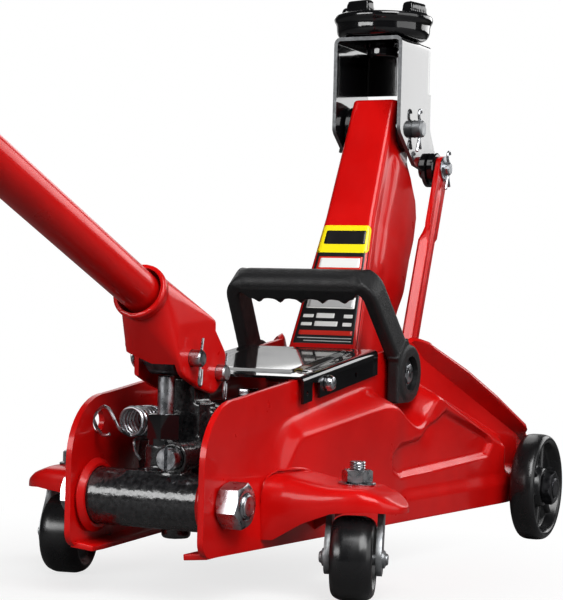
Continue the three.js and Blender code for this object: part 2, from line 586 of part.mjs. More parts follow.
function saddleBracket() {
  const bend = 4;
  const section = new THREE.Shape();
  section.moveTo(-BRACKET_HALF, 190);
  section.lineTo(BRACKET_HALF, 190);
  section.lineTo(BRACKET_HALF, BRACKET_TOP - bend);
  section.absarc(BRACKET_HALF - bend, BRACKET_TOP - bend, bend, 0, Math.PI / 2, false);
  section.absarc(-BRACKET_HALF + bend, BRACKET_TOP - bend, bend, Math.PI / 2, Math.PI, false);
  section.closePath();
  const outer = plateXZ(bracketSide(), -30, 30).intersect(plateYZ(section, -120, 20, 4));
  const inner = block(-120, BRACKET_X[1] - SHEET, -BRACKET_HALF + SHEET, BRACKET_HALF - SHEET, 180, BRACKET_TOP - SHEET);
  const frontOpening = block(-60, 20, -BRACKET_HALF + SHEET, BRACKET_HALF - SHEET, 180, 267);
  const seam = block(BRACKET_X[1] - 6, 0, -0.4, 0.4, 180, BRACKET_TOP - SHEET);
  return cut(outer, inner, frontOpening, seam,
    barY(MAIN_PIN[0], MAIN_PIN[1], -40, 40, 5.3, 16), barY(LINK_TOP[0], LINK_TOP[1], -40, 40, 4.3, 16),
    barZ(MAIN_PIN[0], 0, 280, 300, 7.3));
}

function saddle() {
  const rim = SADDLE_TOP - 10;
  const profile = [[0, BRACKET_TOP + GAP], [22, BRACKET_TOP + GAP], [26.5, 301], [28.5, 304], [29.5, rim], [25.5, rim],
    [23, 304.5], [0, 304.5]];
  const cup = solid(new THREE.LatheGeometry(profile.map(([r, h]) => new THREE.Vector2(r, h)), 36).rotateX(Math.PI / 2))
    .translate([MAIN_PIN[0], 0, 0]);
  const stem = barZ(MAIN_PIN[0], 0, 288, 300, 7);
  const retainer = barZ(MAIN_PIN[0], 0, 287, 293.2, 9.5);
  const lugs = [75, 165, 255, 345].map((degrees) => {
    const lug = block(20, 28.6, -7.5, 7.5, 303, SADDLE_TOP);
    return lug.rotate([0, 0, degrees]).translate([MAIN_PIN[0], 0, 0]);
  });
  return join(cup, stem, retainer, ...lugs);
}

// The links lean outwards a little from the bracket down to the frame.
const LINK_INNER = [27.2, 31.6];      // inner face at the link pin and at the link foot
const LINK_HALF_WIDTH = 6.5;

function link() {
  const length = ARM_LENGTH;
  const shape = new THREE.Shape();
  shape.absarc(0, 0, LINK_HALF_WIDTH, Math.PI / 2, (3 * Math.PI) / 2, false);
  shape.absarc(length, 0, LINK_HALF_WIDTH, -Math.PI / 2, Math.PI / 2, false);
  shape.closePath();
  const geometry = slab(shape, 1, 8);
  const position = geometry.attributes.position;
  const [c, s] = [Math.cos(ARM_ANGLE), Math.sin(ARM_ANGLE)];
  for (let n = 0; n < position.count; n += 1) {
    const [u, v, side] = [position.getX(n), position.getY(n), position.getZ(n)];
    const inner = lerp(LINK_INNER[1], LINK_INNER[0], u / length);
    position.setXYZ(n, LINK_FOOT[0] + u * c - v * s, inner + (1 - side) * SHEET, LINK_FOOT[1] + u * s + v * c);
  }
  return cut(solid(geometry), barY(LINK_FOOT[0], LINK_FOOT[1], 0, 60, 4.3, 16),
    barY(LINK_TOP[0], LINK_TOP[1], 0, 60, 4.3, 16));
}

const onLinkTop = (y0, y1, radius, sides = 16) => barY(LINK_TOP[0], LINK_TOP[1], y0, y1, radius, sides);

add(jack, 'saddle_bracket', saddleBracket(), BLACK_PAINT);
add(jack, 'saddle', saddle(), CASTING);
addPair(jack, 'arm_spacer', cut(barY(MAIN_PIN[0], MAIN_PIN[1], 14.3, 18.3, 13.5, 24),
  barY(MAIN_PIN[0], MAIN_PIN[1], 10, 30, 5.3, 16)), BLACK_PAINT);
add(jack, 'main_pin', barY(MAIN_PIN[0], MAIN_PIN[1], -27.5, 27.5, 5, 20), DARK_STEEL);
addPair(jack, 'link_spacer', cut(onLinkTop(BRACKET_HALF + GAP, 26.4, 10, 24), onLinkTop(10, 40, 4.3)), BLACK_PAINT);
addPair(jack, 'link_pin', join(onLinkTop(15.5, 34.5, 4), onLinkTop(15.5, 18, 6)), DARK_STEEL);
addPair(jack, 'link_rod', link(), RED);
addPair(jack, 'link_stub', join(barY(LINK_FOOT[0], LINK_FOOT[1], 27.5, 35.2, 4, 16),
  barY(LINK_FOOT[0], LINK_FOOT[1], 35.1, 38, 6.5, 16), barY(LINK_FOOT[0], LINK_FOOT[1], 28, 31.1, 6.5, 16)), DARK_STEEL);

// ---- handle socket and handle -------------------------------------------------------------------
const BORE_DEPTH = 32;
const handleAxis = [-Math.cos(HANDLE_ANGLE), 0, Math.sin(HANDLE_ANGLE)];
const onHandle = (s) => [SOCKET_MOUTH[0] + s * handleAxis[0], 0, SOCKET_MOUTH[1] + s * handleAxis[2]];

function handleSocket() {
  const outline = [[-331, 153], [-291, 128.5], [-277, 112], [-278, 102], [-289, 94.5], [-321, 104], [-327, 114],
    [-329, 131], [-345, 134]];
  const cheeks = plateXZ(outline.slice().reverse(), -SOCKET_HALF, SOCKET_HALF);
  const hollow = plateXZ([[-326, 128], [-317, 127], [-296, 124], [-270, 124], [-265, 90], [-290, 80], [-327, 90],
    [-324, 112]].reverse(), -SOCKET_HALF + SHEET, SOCKET_HALF - SHEET);
  const tube = bar(onHandle(-BORE_DEPTH + 2), onHandle(0), 12.8, 28);
  const bore = bar(onHandle(-BORE_DEPTH), onHandle(20), HANDLE_RADIUS + GAP, 28);
  return cut(join(cheeks, tube), hollow, bore,
    barY(FULCRUM[0], FULCRUM[1], -30, 30, 4.3, 16), barY(ROLLER[0], ROLLER[1], -30, 30, 4.3, 16));
}

const HANDLE_SPLIT = 190;
const HANDLE_END = 372;
const GRIP_START = 262;
const HANDLE_BORE = 7.9;

function handleTube(from, to) {
  return cut(bar(onHandle(from), onHandle(to), HANDLE_RADIUS, 28), bar(onHandle(from - 1), onHandle(to + 1), HANDLE_BORE, 20));
}

// The upper tube ends in a narrowed spigot that slips into the lower one.
function handleUpperTube() {
  const spigot = bar(onHandle(HANDLE_SPLIT - 34), onHandle(HANDLE_SPLIT + 4), HANDLE_BORE - GAP, 20);
  const bore = bar(onHandle(HANDLE_SPLIT - 40), onHandle(HANDLE_END - 10), HANDLE_BORE - 1.8, 16);
  return cut(join(bar(onHandle(HANDLE_SPLIT + GAP), onHandle(HANDLE_END), HANDLE_RADIUS, 28), spigot), bore);
}

function handleGrip() {
  const body = bar(onHandle(GRIP_START), onHandle(HANDLE_END + 4), 13.5, 28);
  return cut(body, bar(onHandle(GRIP_START - 1), onHandle(HANDLE_END + 0.6), HANDLE_RADIUS + GAP, 28));
}

add(jack, 'handle_socket', handleSocket(), RED);
add(jack, 'roller', cut(barY(ROLLER[0], ROLLER[1], -8, 8, 8.1, 24), barY(ROLLER[0], ROLLER[1], -20, 20, 4.3, 16)), DARK_STEEL);
add(jack, 'roller_axle', leverPin(ROLLER, -19.5), DARK_STEEL);
add(jack, 'handle_lower_tube', handleTube(-BORE_DEPTH + 3, HANDLE_SPLIT), RED);
add(jack, 'handle_upper_tube', handleUpperTube(), RED);
add(jack, 'handle_grip', handleGrip(), PLASTIC);

// ---- carry handle -------------------------------------------------------------------------------
const GRIP_RISE = 49;
const GRIP_BACK = 39;
const CARRY_INNER = 42.2;             // inner face of the bosses
const CARRY_OUTER = 50;

function carryHandle() {
  const lean = Math.atan2(GRIP_BACK, GRIP_RISE);
  const reach = Math.hypot(GRIP_BACK, GRIP_RISE);
  const outer = new THREE.Shape();
  outer.moveTo(-CARRY_OUTER, 0);
  outer.lineTo(-45, reach - 6);
  outer.absarc(-45 + 14, reach - 4, 14, Math.PI, Math.PI / 2, true);
  outer.absarc(45 - 14, reach - 4, 14, Math.PI / 2, 0, true);
  outer.lineTo(CARRY_OUTER, 0);
  outer.lineTo(CARRY_INNER, 0);
  outer.lineTo(39, reach - 18);
  outer.quadraticCurveTo(38, reach - 9, 30, reach - 9);
  outer.lineTo(-30, reach - 9);
  outer.quadraticCurveTo(-38, reach - 9, -39, reach - 18);
  outer.lineTo(-CARRY_INNER, 0);
  outer.closePath();
  const loop = plateYZ(outer, -9, 9, 6);
  const boss = (side) => barY(0, 0, side * CARRY_INNER, side * CARRY_OUTER, 16, 28);
  const recess = (side) => barY(0, 0, side * 46.5, side * 60, 9.5, 24);
  const body = cut(join(loop, boss(1), boss(-1)), recess(1), recess(-1), barY(0, 0, -60, 60, 3.4, 12));
  return body.rotate([0, -THREE.MathUtils.radToDeg(lean), 0]).translate([ARM_PIVOT[0], 0, ARM_PIVOT[1]]);
}

add(jack, 'carry_handle', carryHandle(), PLASTIC);
addPair(jack, 'carry_screw', join(barY(ARM_PIVOT[0], ARM_PIVOT[1], 41.8, 49, 3, 16),
  barY(ARM_PIVOT[0], ARM_PIVOT[1], 46.8, 49, 5.5, 6)), ZINC);

// ---- springs and clips --------------------------------------------------------------------------
const SPRING_RADIUS = 5.6;            // to the middle of the wire
const SPRING_WIRE = 0.8;
const SPRING_TURNS = 7;
const COIL_REAR = [-316, 17.2, 81.5];
const COIL_FRONT = [-300.5, 13.6, 81.5];
const HOOK_CENTRE = [-320.2, 28.9, 81.2];
const HOOK_RADIUS = 6.2;
const HOOK_HEADING = [0.6, 0.8];      // the hook's plane leans into the plate's hole

function springPath() {
  const points = [];
  for (let degrees = -100; degrees <= 150; degrees += 25) {
    const angle = THREE.MathUtils.degToRad(degrees);
    const along = HOOK_RADIUS * Math.cos(angle);
    points.push(new THREE.Vector3(HOOK_CENTRE[0] + along * HOOK_HEADING[0],
      HOOK_CENTRE[1] + along * HOOK_HEADING[1], HOOK_CENTRE[2] + HOOK_RADIUS * Math.sin(angle)));
  }
  const perTurn = 12;
  for (let i = 0; i <= SPRING_TURNS * perTurn; i += 1) {
    const angle = -Math.PI / 2 - (2 * Math.PI * i) / perTurn;
    const t = i / (SPRING_TURNS * perTurn);
    points.push(new THREE.Vector3(lerp(COIL_REAR[0], COIL_FRONT[0], t),
      lerp(COIL_REAR[1], COIL_FRONT[1], t) + SPRING_RADIUS * Math.cos(angle),
      COIL_REAR[2] + SPRING_RADIUS * Math.sin(angle)));
  }
  const leg = [[-300, 12, 74.4], [-303, 13, 73.4], [-311, 16.6, 73], [-312.6, 16.6, 70], [-312, 15.6, 66], [-311, 13.8, 63.4]];
  return new THREE.CatmullRomCurve3([...points, ...leg.map((point) => new THREE.Vector3(...point))]);
}

add(jack, 'return_spring', wire(springPath(), SPRING_WIRE, 150, 5), ZINC);

// ---- place the origin ---------------------------------------------------------------------------
const middle = new THREE.Box3().setFromObject(jack).getCenter(new THREE.Vector3());
jack.position.x = -middle.x;

export default jack;
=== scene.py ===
"""Trolley jack with its arm raised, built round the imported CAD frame.

Lengths are millimetres from the front axle: x forwards, y to the jack's left, z up from the floor.
at() turns them into the frame's metres. Sheet metal is made as grids of points with a thickness,
turned pieces as lathe profiles, and castings as overlapping shapes fused into one.
"""
import math
import random

import bmesh
import bpy
from mathutils import Matrix, Vector


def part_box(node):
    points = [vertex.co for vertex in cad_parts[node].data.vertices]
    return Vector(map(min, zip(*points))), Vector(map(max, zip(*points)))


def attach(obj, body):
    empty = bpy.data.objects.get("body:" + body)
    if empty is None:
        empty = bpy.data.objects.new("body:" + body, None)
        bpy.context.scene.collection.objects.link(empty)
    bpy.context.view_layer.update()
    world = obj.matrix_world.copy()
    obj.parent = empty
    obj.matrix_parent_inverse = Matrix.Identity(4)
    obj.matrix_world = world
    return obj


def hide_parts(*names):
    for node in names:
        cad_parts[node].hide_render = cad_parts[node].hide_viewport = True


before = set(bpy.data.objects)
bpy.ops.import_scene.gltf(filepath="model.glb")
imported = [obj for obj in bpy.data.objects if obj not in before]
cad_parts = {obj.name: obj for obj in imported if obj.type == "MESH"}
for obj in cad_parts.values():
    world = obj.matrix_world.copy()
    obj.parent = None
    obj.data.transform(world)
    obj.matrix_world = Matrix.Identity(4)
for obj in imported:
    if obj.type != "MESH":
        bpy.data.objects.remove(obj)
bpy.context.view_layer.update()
MM = 0.001
ACROSS, UP = (0, 1, 0), (0, 0, 1)


def middle(node):
    low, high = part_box(node)
    return (low + high) / 2


AXLE_X = middle("front_axle").x


def at(point):
    return Vector((AXLE_X + point[0] * MM, point[1] * MM, point[2] * MM))


def spot(node):
    """Middle of a CAD node, in millimetres from the front axle."""
    centre = middle(node)
    return Vector(((centre.x - AXLE_X) / MM, centre.y / MM, centre.z / MM))


def reach(node):
    """Lowest and highest corner of a CAD node, in millimetres from the front axle."""
    low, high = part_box(node)
    return [Vector(((c.x - AXLE_X) / MM, c.y / MM, c.z / MM)) for c in (low, high)]


PIVOT = spot("arm_pivot_shaft")
MAIN = spot("main_pin")
CRANK = spot("crank_pin")
LINK_TOP = spot("left_link_pin")
LINK_FOOT = spot("left_link_stub")
TRUNNION = spot("trunnion_bolt")
FULCRUM = spot("fulcrum_pin")
ROLLER = spot("roller")
PLUNGER = spot("plunger")
SCREW = spot("release_valve")
WHEEL = spot("left_front_wheel")
CASTER = spot("left_caster_bolt")
CASTER_WHEEL = Vector((CASTER.x - 9, CASTER.y, spot("left_caster_wheel").z))
COVER_SCREW = spot("left_cover_screw")


# ---- small maths ----
def clamp(t):
    return min(1.0, max(0.0, t))


def ease(t):
    t = clamp(t)
    return t * t * (3 - 2 * t)


def mix(a, b, t):
    return a + (b - a) * t


def hump(x, centre, width):
    return math.exp(-(((x - centre) / width) ** 2))


def along(points, x):
    """Height at x on a line through points given as (x, height), in rising x."""
    if x <= points[0][0]:
        return points[0][1]
    for (x0, h0), (x1, h1) in zip(points, points[1:]):
        if x <= x1:
            return mix(h0, h1, (x - x0) / (x1 - x0))
    return points[-1][1]


# ---- shapes: each is (points, faces) ----
def grid(nu, nv, point, wrap_u=False, wrap_v=False):
    """A sheet of quads over u and v from 0 to 1; its front faces along u cross v."""
    columns = nu if wrap_u else nu + 1
    rows = nv if wrap_v else nv + 1
    points = [point(i / nu, j / nv) for i in range(columns) for j in range(rows)]

    def index(i, j):
        return (i % columns) * rows + j % rows

    faces = [(index(i, j), index(i + 1, j), index(i + 1, j + 1), index(i, j + 1))
             for i in range(nu) for j in range(nv)]
    return points, faces


def merge(*shapes):
    points, faces = [], []
    for some_points, some_faces in shapes:
        start = len(points)
        points += list(some_points)
        faces += [tuple(n + start for n in face) for face in some_faces]
    return points, faces


def mirror(shape):
    points, faces = shape
    return [(p[0], -p[1], p[2]) for p in points], [tuple(reversed(face)) for face in faces]


def unchanged(shape):
    return shape


SIDES = (("left", unchanged), ("right", mirror))


def subdivided(profile, step):
    """The same profile with more points on it, about step apart."""
    result = []
    for (a0, b0), (a1, b1) in zip(profile, profile[1:]):
        steps = max(1, int(math.hypot(a1 - a0, b1 - b0) / step))
        result += [(mix(a0, a1, k / steps), mix(b0, b1, k / steps)) for k in range(steps)]
    return result + [profile[-1]]


def rounded(profile, size, steps=3):
    """The profile with its inner corners rounded off by about size."""
    result = [profile[0]]
    for before, corner, after in zip(profile, profile[1:], profile[2:]):
        b, c, a = Vector(before), Vector(corner), Vector(after)
        back, ahead = b - c, a - c
        start = c + back.normalized() * min(size, back.length * 0.45)
        end = c + ahead.normalized() * min(size, ahead.length * 0.45)
        for k in range(steps + 1):
            t = k / steps
            result.append(tuple(start * (1 - t) ** 2 + c * 2 * t * (1 - t) + end * t * t))
    return result + [profile[-1]]


def basis(axis):
    """Three directions at right angles, the last along axis."""
    forward = Vector(axis).normalized()
    side = forward.orthogonal().normalized()
    return side, forward.cross(side), forward


def lathe(profile, centre, axis, steps=48, radius_at=None):
    """A profile of (radius, height) turned about an axis. radius_at may reshape a radius by angle."""
    side, up, forward = basis(axis)
    centre = Vector(centre)

    def point(u, v):
        radius, height = profile[round(v * (len(profile) - 1))]
        angle = 2 * math.pi * u
        if radius_at:
            radius, height = radius_at(radius, height, angle)
        return tuple(centre + forward * height + (side * math.cos(angle) + up * math.sin(angle)) * radius)

    return grid(steps, len(profile) - 1, point, wrap_u=True)


def pin(start, end, radius, chamfer=0.6, steps=32):
    """A round bar between two points with chamfered ends."""
    start, end = Vector(start), Vector(end)
    length = (end - start).length
    profile = [(0, 0), (radius - chamfer, 0), (radius, chamfer), (radius, length - chamfer),
               (radius - chamfer, length), (0, length)]
    return lathe(profile, start, end - start, steps)


def nut(start, end, flats, bore):
    """A chamfered hexagon nut between two points; bore 0 makes a bolt head."""
    start, end = Vector(start), Vector(end)
    length = (end - start).length
    land = flats / 2 * 0.96

    def hexagon(radius, height, angle):
        if radius <= land:
            return radius, height
        corner = flats / 2 / math.cos((angle + math.pi / 6) % (math.pi / 3) - math.pi / 6)
        drop = (corner - land) * 0.55
        return corner, drop if height < length / 2 else length - drop

    profile = [(bore, 0), (land, 0), (flats, 0.1), (flats, length - 0.1), (land, length), (bore, length)]
    if bore:
        profile = [(bore, length - 0.01)] + [(bore, 0.5), (bore + 0.5, 0)] + profile[1:5] + [
            (bore + 0.5, length), (bore, length - 0.5)]
    return lathe(profile, start, end - start, 72, hexagon)


def threads(start, end, radius, pitch):
    """A threaded rod end, as a ridged bar whose ridges climb one pitch a turn."""
    start, end = Vector(start), Vector(end)
    side, up, forward = basis(end - start)
    length = (end - start).length
    rows = max(8, round(length / pitch * 6))

    def point(u, v):
        height = v * length
        wave = abs(((height / pitch + u) % 1) * 2 - 1)
        r = radius - 0.6 * pitch * wave * (1 - ease((height - length + pitch) / pitch) * 0.4)
        if v in (0, 1):
            r = radius - pitch * 0.6
        angle = 2 * math.pi * u
        return tuple(start + forward * height + (side * math.cos(angle) + up * math.sin(angle)) * r)

    rod = grid(24, rows, point, wrap_u=True)
    cap = pin(end - forward * pitch, end, radius - pitch * 0.62, 0.3, 24)
    return merge(rod, cap)


def box_shape(x0, x1, y0, y1, z0, z1):
    points = [(x, y, z) for x in (x0, x1) for y in (y0, y1) for z in (z0, z1)]
    faces = [(0, 1, 3, 2), (4, 6, 7, 5), (0, 4, 5, 1), (2, 3, 7, 6), (0, 2, 6, 4), (1, 5, 7, 3)]
    return points, faces


def sweep(path, radius, sides=10):
    """Round wire along a list of points, as a closed tube with flat ends."""
    path = [Vector(p) for p in path]
    normal = (path[1] - path[0]).orthogonal().normalized()
    points, faces = [], []
    for k, place in enumerate(path):
        ahead = (path[min(k + 1, len(path) - 1)] - path[max(k - 1, 0)]).normalized()
        normal = (normal - ahead * normal.dot(ahead)).normalized()
        other = ahead.cross(normal)
        for s in range(sides):
            angle = 2 * math.pi * s / sides
            points.append(tuple(place + (normal * math.cos(angle) + other * math.sin(angle)) * radius))
    for k in range(len(path) - 1):
        for s in range(sides):
            a, b = k * sides + s, k * sides + (s + 1) % sides
            faces.append((a, b, b + sides, a + sides))
    last = (len(path) - 1) * sides
    faces += [tuple(reversed(range(sides))), tuple(range(last, last + sides))]
    return points, faces


def spline(points, steps=8):
    """A smooth path through points."""
    points = [Vector(p) for p in points]
    ends = [points[0] * 2 - points[1]] + points + [points[-1] * 2 - points[-2]]
    path = []
    for p0, p1, p2, p3 in zip(ends, ends[1:], ends[2:], ends[3:]):
        for k in range(steps):
            t = k / steps
            path.append(0.5 * (2 * p1 + (p2 - p0) * t + (2 * p0 - 5 * p1 + 4 * p2 - p3) * t * t
                               + (3 * p1 - p0 - 3 * p2 + p3) * t ** 3))
    return path + [points[-1]]


# ---- materials ----
def add_node(tree, kind, inputs=None, **settings):
    """A new shader node with its settings and the values of its inputs."""
    node = tree.nodes.new(kind)
    for name, value in settings.items():
        setattr(node, name, value)
    for name, value in (inputs or {}).items():
        node.inputs[name].default_value = value
    return node


def new_material(name, color, roughness, metallic=0.0, coat=0.0, coat_roughness=0.05):
    material = bpy.data.materials.new(name)
    material.use_nodes = True
    shader = material.node_tree.nodes["Principled BSDF"]
    shader.inputs["Base Color"].default_value = (*color, 1)
    shader.inputs["Roughness"].default_value = roughness
    shader.inputs["Metallic"].default_value = metallic
    shader.inputs["Coat Weight"].default_value = coat
    shader.inputs["Coat Roughness"].default_value = coat_roughness
    return material


def noise_node(tree, scale, detail):
    """A noise texture in the object's own metres; scale is waves per millimetre."""
    place = add_node(tree, "ShaderNodeTexCoord")
    noise = add_node(tree, "ShaderNodeTexNoise", {"Scale": scale / MM, "Detail": detail})
    tree.links.new(place.outputs["Object"], noise.inputs["Vector"])
    return noise


def add_bump(material, scale, depth, strength, detail=3.0):
    """Fine relief: waves per millimetre and depth in millimetres."""
    tree = material.node_tree
    noise = noise_node(tree, scale, detail)
    bump = add_node(tree, "ShaderNodeBump", {"Strength": strength, "Distance": depth * MM})
    tree.links.new(noise.outputs["Fac"], bump.inputs["Height"])
    shader = tree.nodes["Principled BSDF"]
    for socket in ("Normal", "Coat Normal"):
        tree.links.new(bump.outputs["Normal"], shader.inputs[socket])


def vary(material, socket, low, high, scale):
    """Lets an input drift between two values over the surface."""
    tree = material.node_tree
    noise = noise_node(tree, scale, 4.0)
    target = tree.nodes["Principled BSDF"].inputs[socket]
    if socket == "Base Color":
        ramp = add_node(tree, "ShaderNodeValToRGB")
        for stop, position, color in zip(ramp.color_ramp.elements, (0.35, 0.65), (low, high)):
            stop.position, stop.color = position, (*color, 1)
        tree.links.new(noise.outputs["Fac"], ramp.inputs["Fac"])
        tree.links.new(ramp.outputs["Color"], target)
    else:
        spread = add_node(tree, "ShaderNodeMapRange",
                          {"From Min": 0.3, "From Max": 0.7, "To Min": low, "To Max": high})
        tree.links.new(noise.outputs["Fac"], spread.inputs["Value"])
        tree.links.new(spread.outputs["Result"], target)


# A finish: colour, roughness, metallic, coat and coat roughness; then how its colour drifts, how its
# roughness drifts, and its relief, each with waves per millimetre.
BLACK = (0.006, 0.006, 0.007)
FINISHES = {
    "red_paint": dict(base=((0.56, 0.004, 0.003), 0.32, 0.0, 0.4, 0.07), gloss=(0.26, 0.4, 0.05),
                      tint=((0.52, 0.0032, 0.0028), (0.62, 0.005, 0.004), 0.02), relief=(0.35, 0.02, 0.35)),
    "black_paint": dict(base=(BLACK, 0.14, 0.0, 1.0, 0.03), gloss=(0.08, 0.18, 0.06),
                        relief=(0.2, 0.01, 0.25)),
    "black_casting": dict(base=((0.012, 0.012, 0.013), 0.28, 0.0, 1.0, 0.08), gloss=(0.16, 0.34, 0.4),
                          tint=(BLACK, (0.03, 0.03, 0.032), 0.5), relief=(0.5, 0.22, 0.6, 4.0)),
    "zinc": dict(base=((0.72, 0.73, 0.75), 0.25, 1.0), gloss=(0.2, 0.4, 0.3),
                 tint=((0.36, 0.37, 0.39), (0.56, 0.57, 0.59), 0.15), relief=(0.8, 0.03, 0.3)),
    "chrome": dict(base=((0.86, 0.86, 0.87), 0.06, 1.0), gloss=(0.04, 0.12, 0.3)),
    "dark_steel": dict(base=((0.09, 0.09, 0.095), 0.32, 0.9), gloss=(0.25, 0.45, 0.4),
                       tint=((0.05, 0.05, 0.055), (0.14, 0.14, 0.15), 0.25), relief=(0.9, 0.04, 0.3)),
    "grey_steel": dict(base=((0.33, 0.34, 0.35), 0.42, 0.75), gloss=(0.34, 0.52, 0.25),
                       tint=((0.24, 0.25, 0.26), (0.42, 0.43, 0.44), 0.12), relief=(0.7, 0.05, 0.35)),
    "wheel_black": dict(base=((0.009, 0.009, 0.01), 0.28, 0.0, 0.5, 0.2), gloss=(0.22, 0.38, 0.1),
                        relief=(0.5, 0.03, 0.35)),
    "black_plastic": dict(base=((0.016, 0.016, 0.017), 0.48), gloss=(0.38, 0.56, 0.2),
                          relief=(1.1, 0.3, 0.9)),
    "raw_edge": dict(base=((0.16, 0.165, 0.17), 0.5, 0.6), gloss=(0.4, 0.6, 0.5), relief=(1.0, 0.05, 0.4)),
}
for shade, color in (("yellow", (0.9, 0.76, 0.01)), ("black", (0.012, 0.012, 0.013)),
                     ("grey", (0.55, 0.55, 0.55)), ("red", (0.62, 0.03, 0.015)), ("white", (0.8, 0.8, 0.78))):
    FINISHES[f"label_{shade}"] = dict(base=(color, 0.35, 0.0, 0.4, 0.15), gloss=(0.3, 0.42, 0.2),
                                      relief=(0.3, 0.01, 0.2))


def make_material(name, base, gloss, tint=None, relief=None):
    material = new_material(name, *base)
    if tint:
        vary(material, "Base Color", *tint)
    vary(material, "Roughness", *gloss)
    if relief:
        add_bump(material, *relief)
    return material


MATERIALS = {name: make_material(name, **finish) for name, finish in FINISHES.items()}
RED_SHADER = MATERIALS["red_paint"].node_tree.nodes["Principled BSDF"]
RED_SHADER.inputs["Specular IOR Level"].default_value = 0.3


# ---- pieces ----
def soft_shading(mesh, degrees=35):
    mesh.polygons.foreach_set("use_smooth", [True] * len(mesh.polygons))
    mesh.set_sharp_from_angle(angle=math.radians(degrees))


def new_mesh(name, shape):
    points, faces = shape
    mesh = bpy.data.meshes.new(name)
    mesh.from_pydata([at(p) for p in points], [], faces)
    return mesh


def new_object(name, data):
    """Puts a mesh, light or camera into the scene."""
    obj = bpy.data.objects.new(name, data)
    bpy.context.scene.collection.objects.link(obj)
    return obj


def tidy_mesh(mesh, closed):
    work = bmesh.new()
    work.from_mesh(mesh)
    bmesh.ops.remove_doubles(work, verts=work.verts, dist=1e-6)
    bmesh.ops.dissolve_degenerate(work, edges=work.edges, dist=1e-7)
    if closed:
        bmesh.ops.recalc_face_normals(work, faces=work.faces)
    work.to_mesh(mesh)
    work.free()


def piece(name, shape, body, finish, nodes=(), closed=True, sheet=0.0, rim=None, bevel=0.0, angle=35):
    """Builds a mesh piece that rides on a body.

    sheet gives an open grid its thickness: behind its front, or in front of it if below zero.
    rim is the finish of the sheet's cut edges.
    """
    points, faces = shape
    if sheet < 0:
        faces = [tuple(reversed(face)) for face in faces]
    mesh = new_mesh(name, (points, faces))
    tidy_mesh(mesh, closed)
    obj = new_object(name, mesh)
    mesh.materials.append(MATERIALS[finish])
    if rim:
        mesh.materials.append(MATERIALS[rim])
    if sheet:
        solidify = obj.modifiers.new("thickness", "SOLIDIFY")
        solidify.thickness = abs(sheet) * MM
        solidify.offset = -1
        if rim:
            solidify.material_offset_rim = 1
    if bevel:
        add_bevel(obj, bevel)
    soft_shading(mesh, angle)
    if nodes:
        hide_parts(*nodes)
    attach(obj, body)
    return obj


def add_bevel(obj, width, segments=2, degrees=35):
    bevel = obj.modifiers.new("edges", "BEVEL")
    bevel.width = width * MM
    bevel.segments = segments
    bevel.limit_method = "ANGLE"
    bevel.angle_limit = math.radians(degrees)
    bevel.harden_normals = False


def pair(name, shape, body, finish, node=None, **options):
    """The same piece on the left and, mirrored, on the right. {side} in body stands for left or right."""
    for side, turn in SIDES:
        nodes = (f"{side}_{node}",) if node else ()
        piece(f"{side}_{name}", turn(shape), body.format(side=side), finish, nodes, **options)


def dress(node, finish, bevel):
    """A CAD node keeps its shape and gets a finish and softened edges."""
    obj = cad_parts[node]
    degrees = 40
    mesh = obj.data
    custom = mesh.attributes.get("custom_normal")
    if custom:
        mesh.attributes.remove(custom)
    mesh.materials.clear()
    mesh.materials.append(MATERIALS[finish])
    weld = obj.modifiers.new("weld", "WELD")
    weld.merge_threshold = 1e-6
    add_bevel(obj, bevel, 2, degrees)
    soft_shading(mesh, degrees)


# ---- side plates ----
SHEET = 3.0
PLATE_LOW, PLATE_HIGH = reach("left_side_plate")
REAR_X = PLATE_LOW.x
FRONT_X = PLATE_HIGH.x
PLATE_FOOT = PLATE_LOW.z + 2
PEAK = (PIVOT.x + 22, PIVOT.z + 16.5)
NOSE_Z = 62
REAR_RADIUS, FOOT_RADIUS = 30, 8
REAR_TOP = 94
NARROW, WIDE = 36.5, 71
# outline of the long pocket pressed into the plate
POCKET = [(-160, 60), (-152, 64.5), (-126, 67), (-112, 74), (-96, 81), (-40, 64), (-35, 59),
          (-42, 52), (-150, 47), (-160, 51)]
SPRING_HOLE = (-317.5, 81.2)


def plate_top(x):
    end = REAR_X + REAR_RADIUS
    if x < end:
        return REAR_TOP - REAR_RADIUS + math.sqrt(max(0, REAR_RADIUS ** 2 - (end - x) ** 2))
    if x < PEAK[0]:
        return mix(REAR_TOP, PEAK[1], (x - end) / (PEAK[0] - end))
    return mix(PEAK[1], NOSE_Z, (x - PEAK[0]) / (FRONT_X - PEAK[0]))


def plate_foot(x):
    end = REAR_X + FOOT_RADIUS
    if x >= end:
        return PLATE_FOOT
    return PLATE_FOOT + FOOT_RADIUS - math.sqrt(max(0, FOOT_RADIUS ** 2 - (end - x) ** 2))


def ridge_z(x):
    """The ridge climbs to the carry handle, dips under its boss, and falls away to the front wheel."""
    climb = 83 + (x + 261) * 0.145 - 20 * hump(x, PIVOT.x, 24)
    fall = 97 - (x + 100) * 0.385
    return mix(climb, fall, ease((x + 118) / 22))


def depth_inside(outline, x, z):
    """Distance from the nearest edge of a closed outline, positive inside it."""
    nearest, inside = 1e9, False
    for (x0, z0), (x1, z1) in zip(outline, outline[1:] + outline[:1]):
        t = clamp(((x - x0) * (x1 - x0) + (z - z0) * (z1 - z0)) / ((x1 - x0) ** 2 + (z1 - z0) ** 2))
        nearest = min(nearest, math.hypot(x - mix(x0, x1, t), z - mix(z0, z1, t)))
        if (z0 > z) != (z1 > z) and x < x0 + (z - z0) / (z1 - z0) * (x1 - x0):
            inside = not inside
    return nearest if inside else -nearest


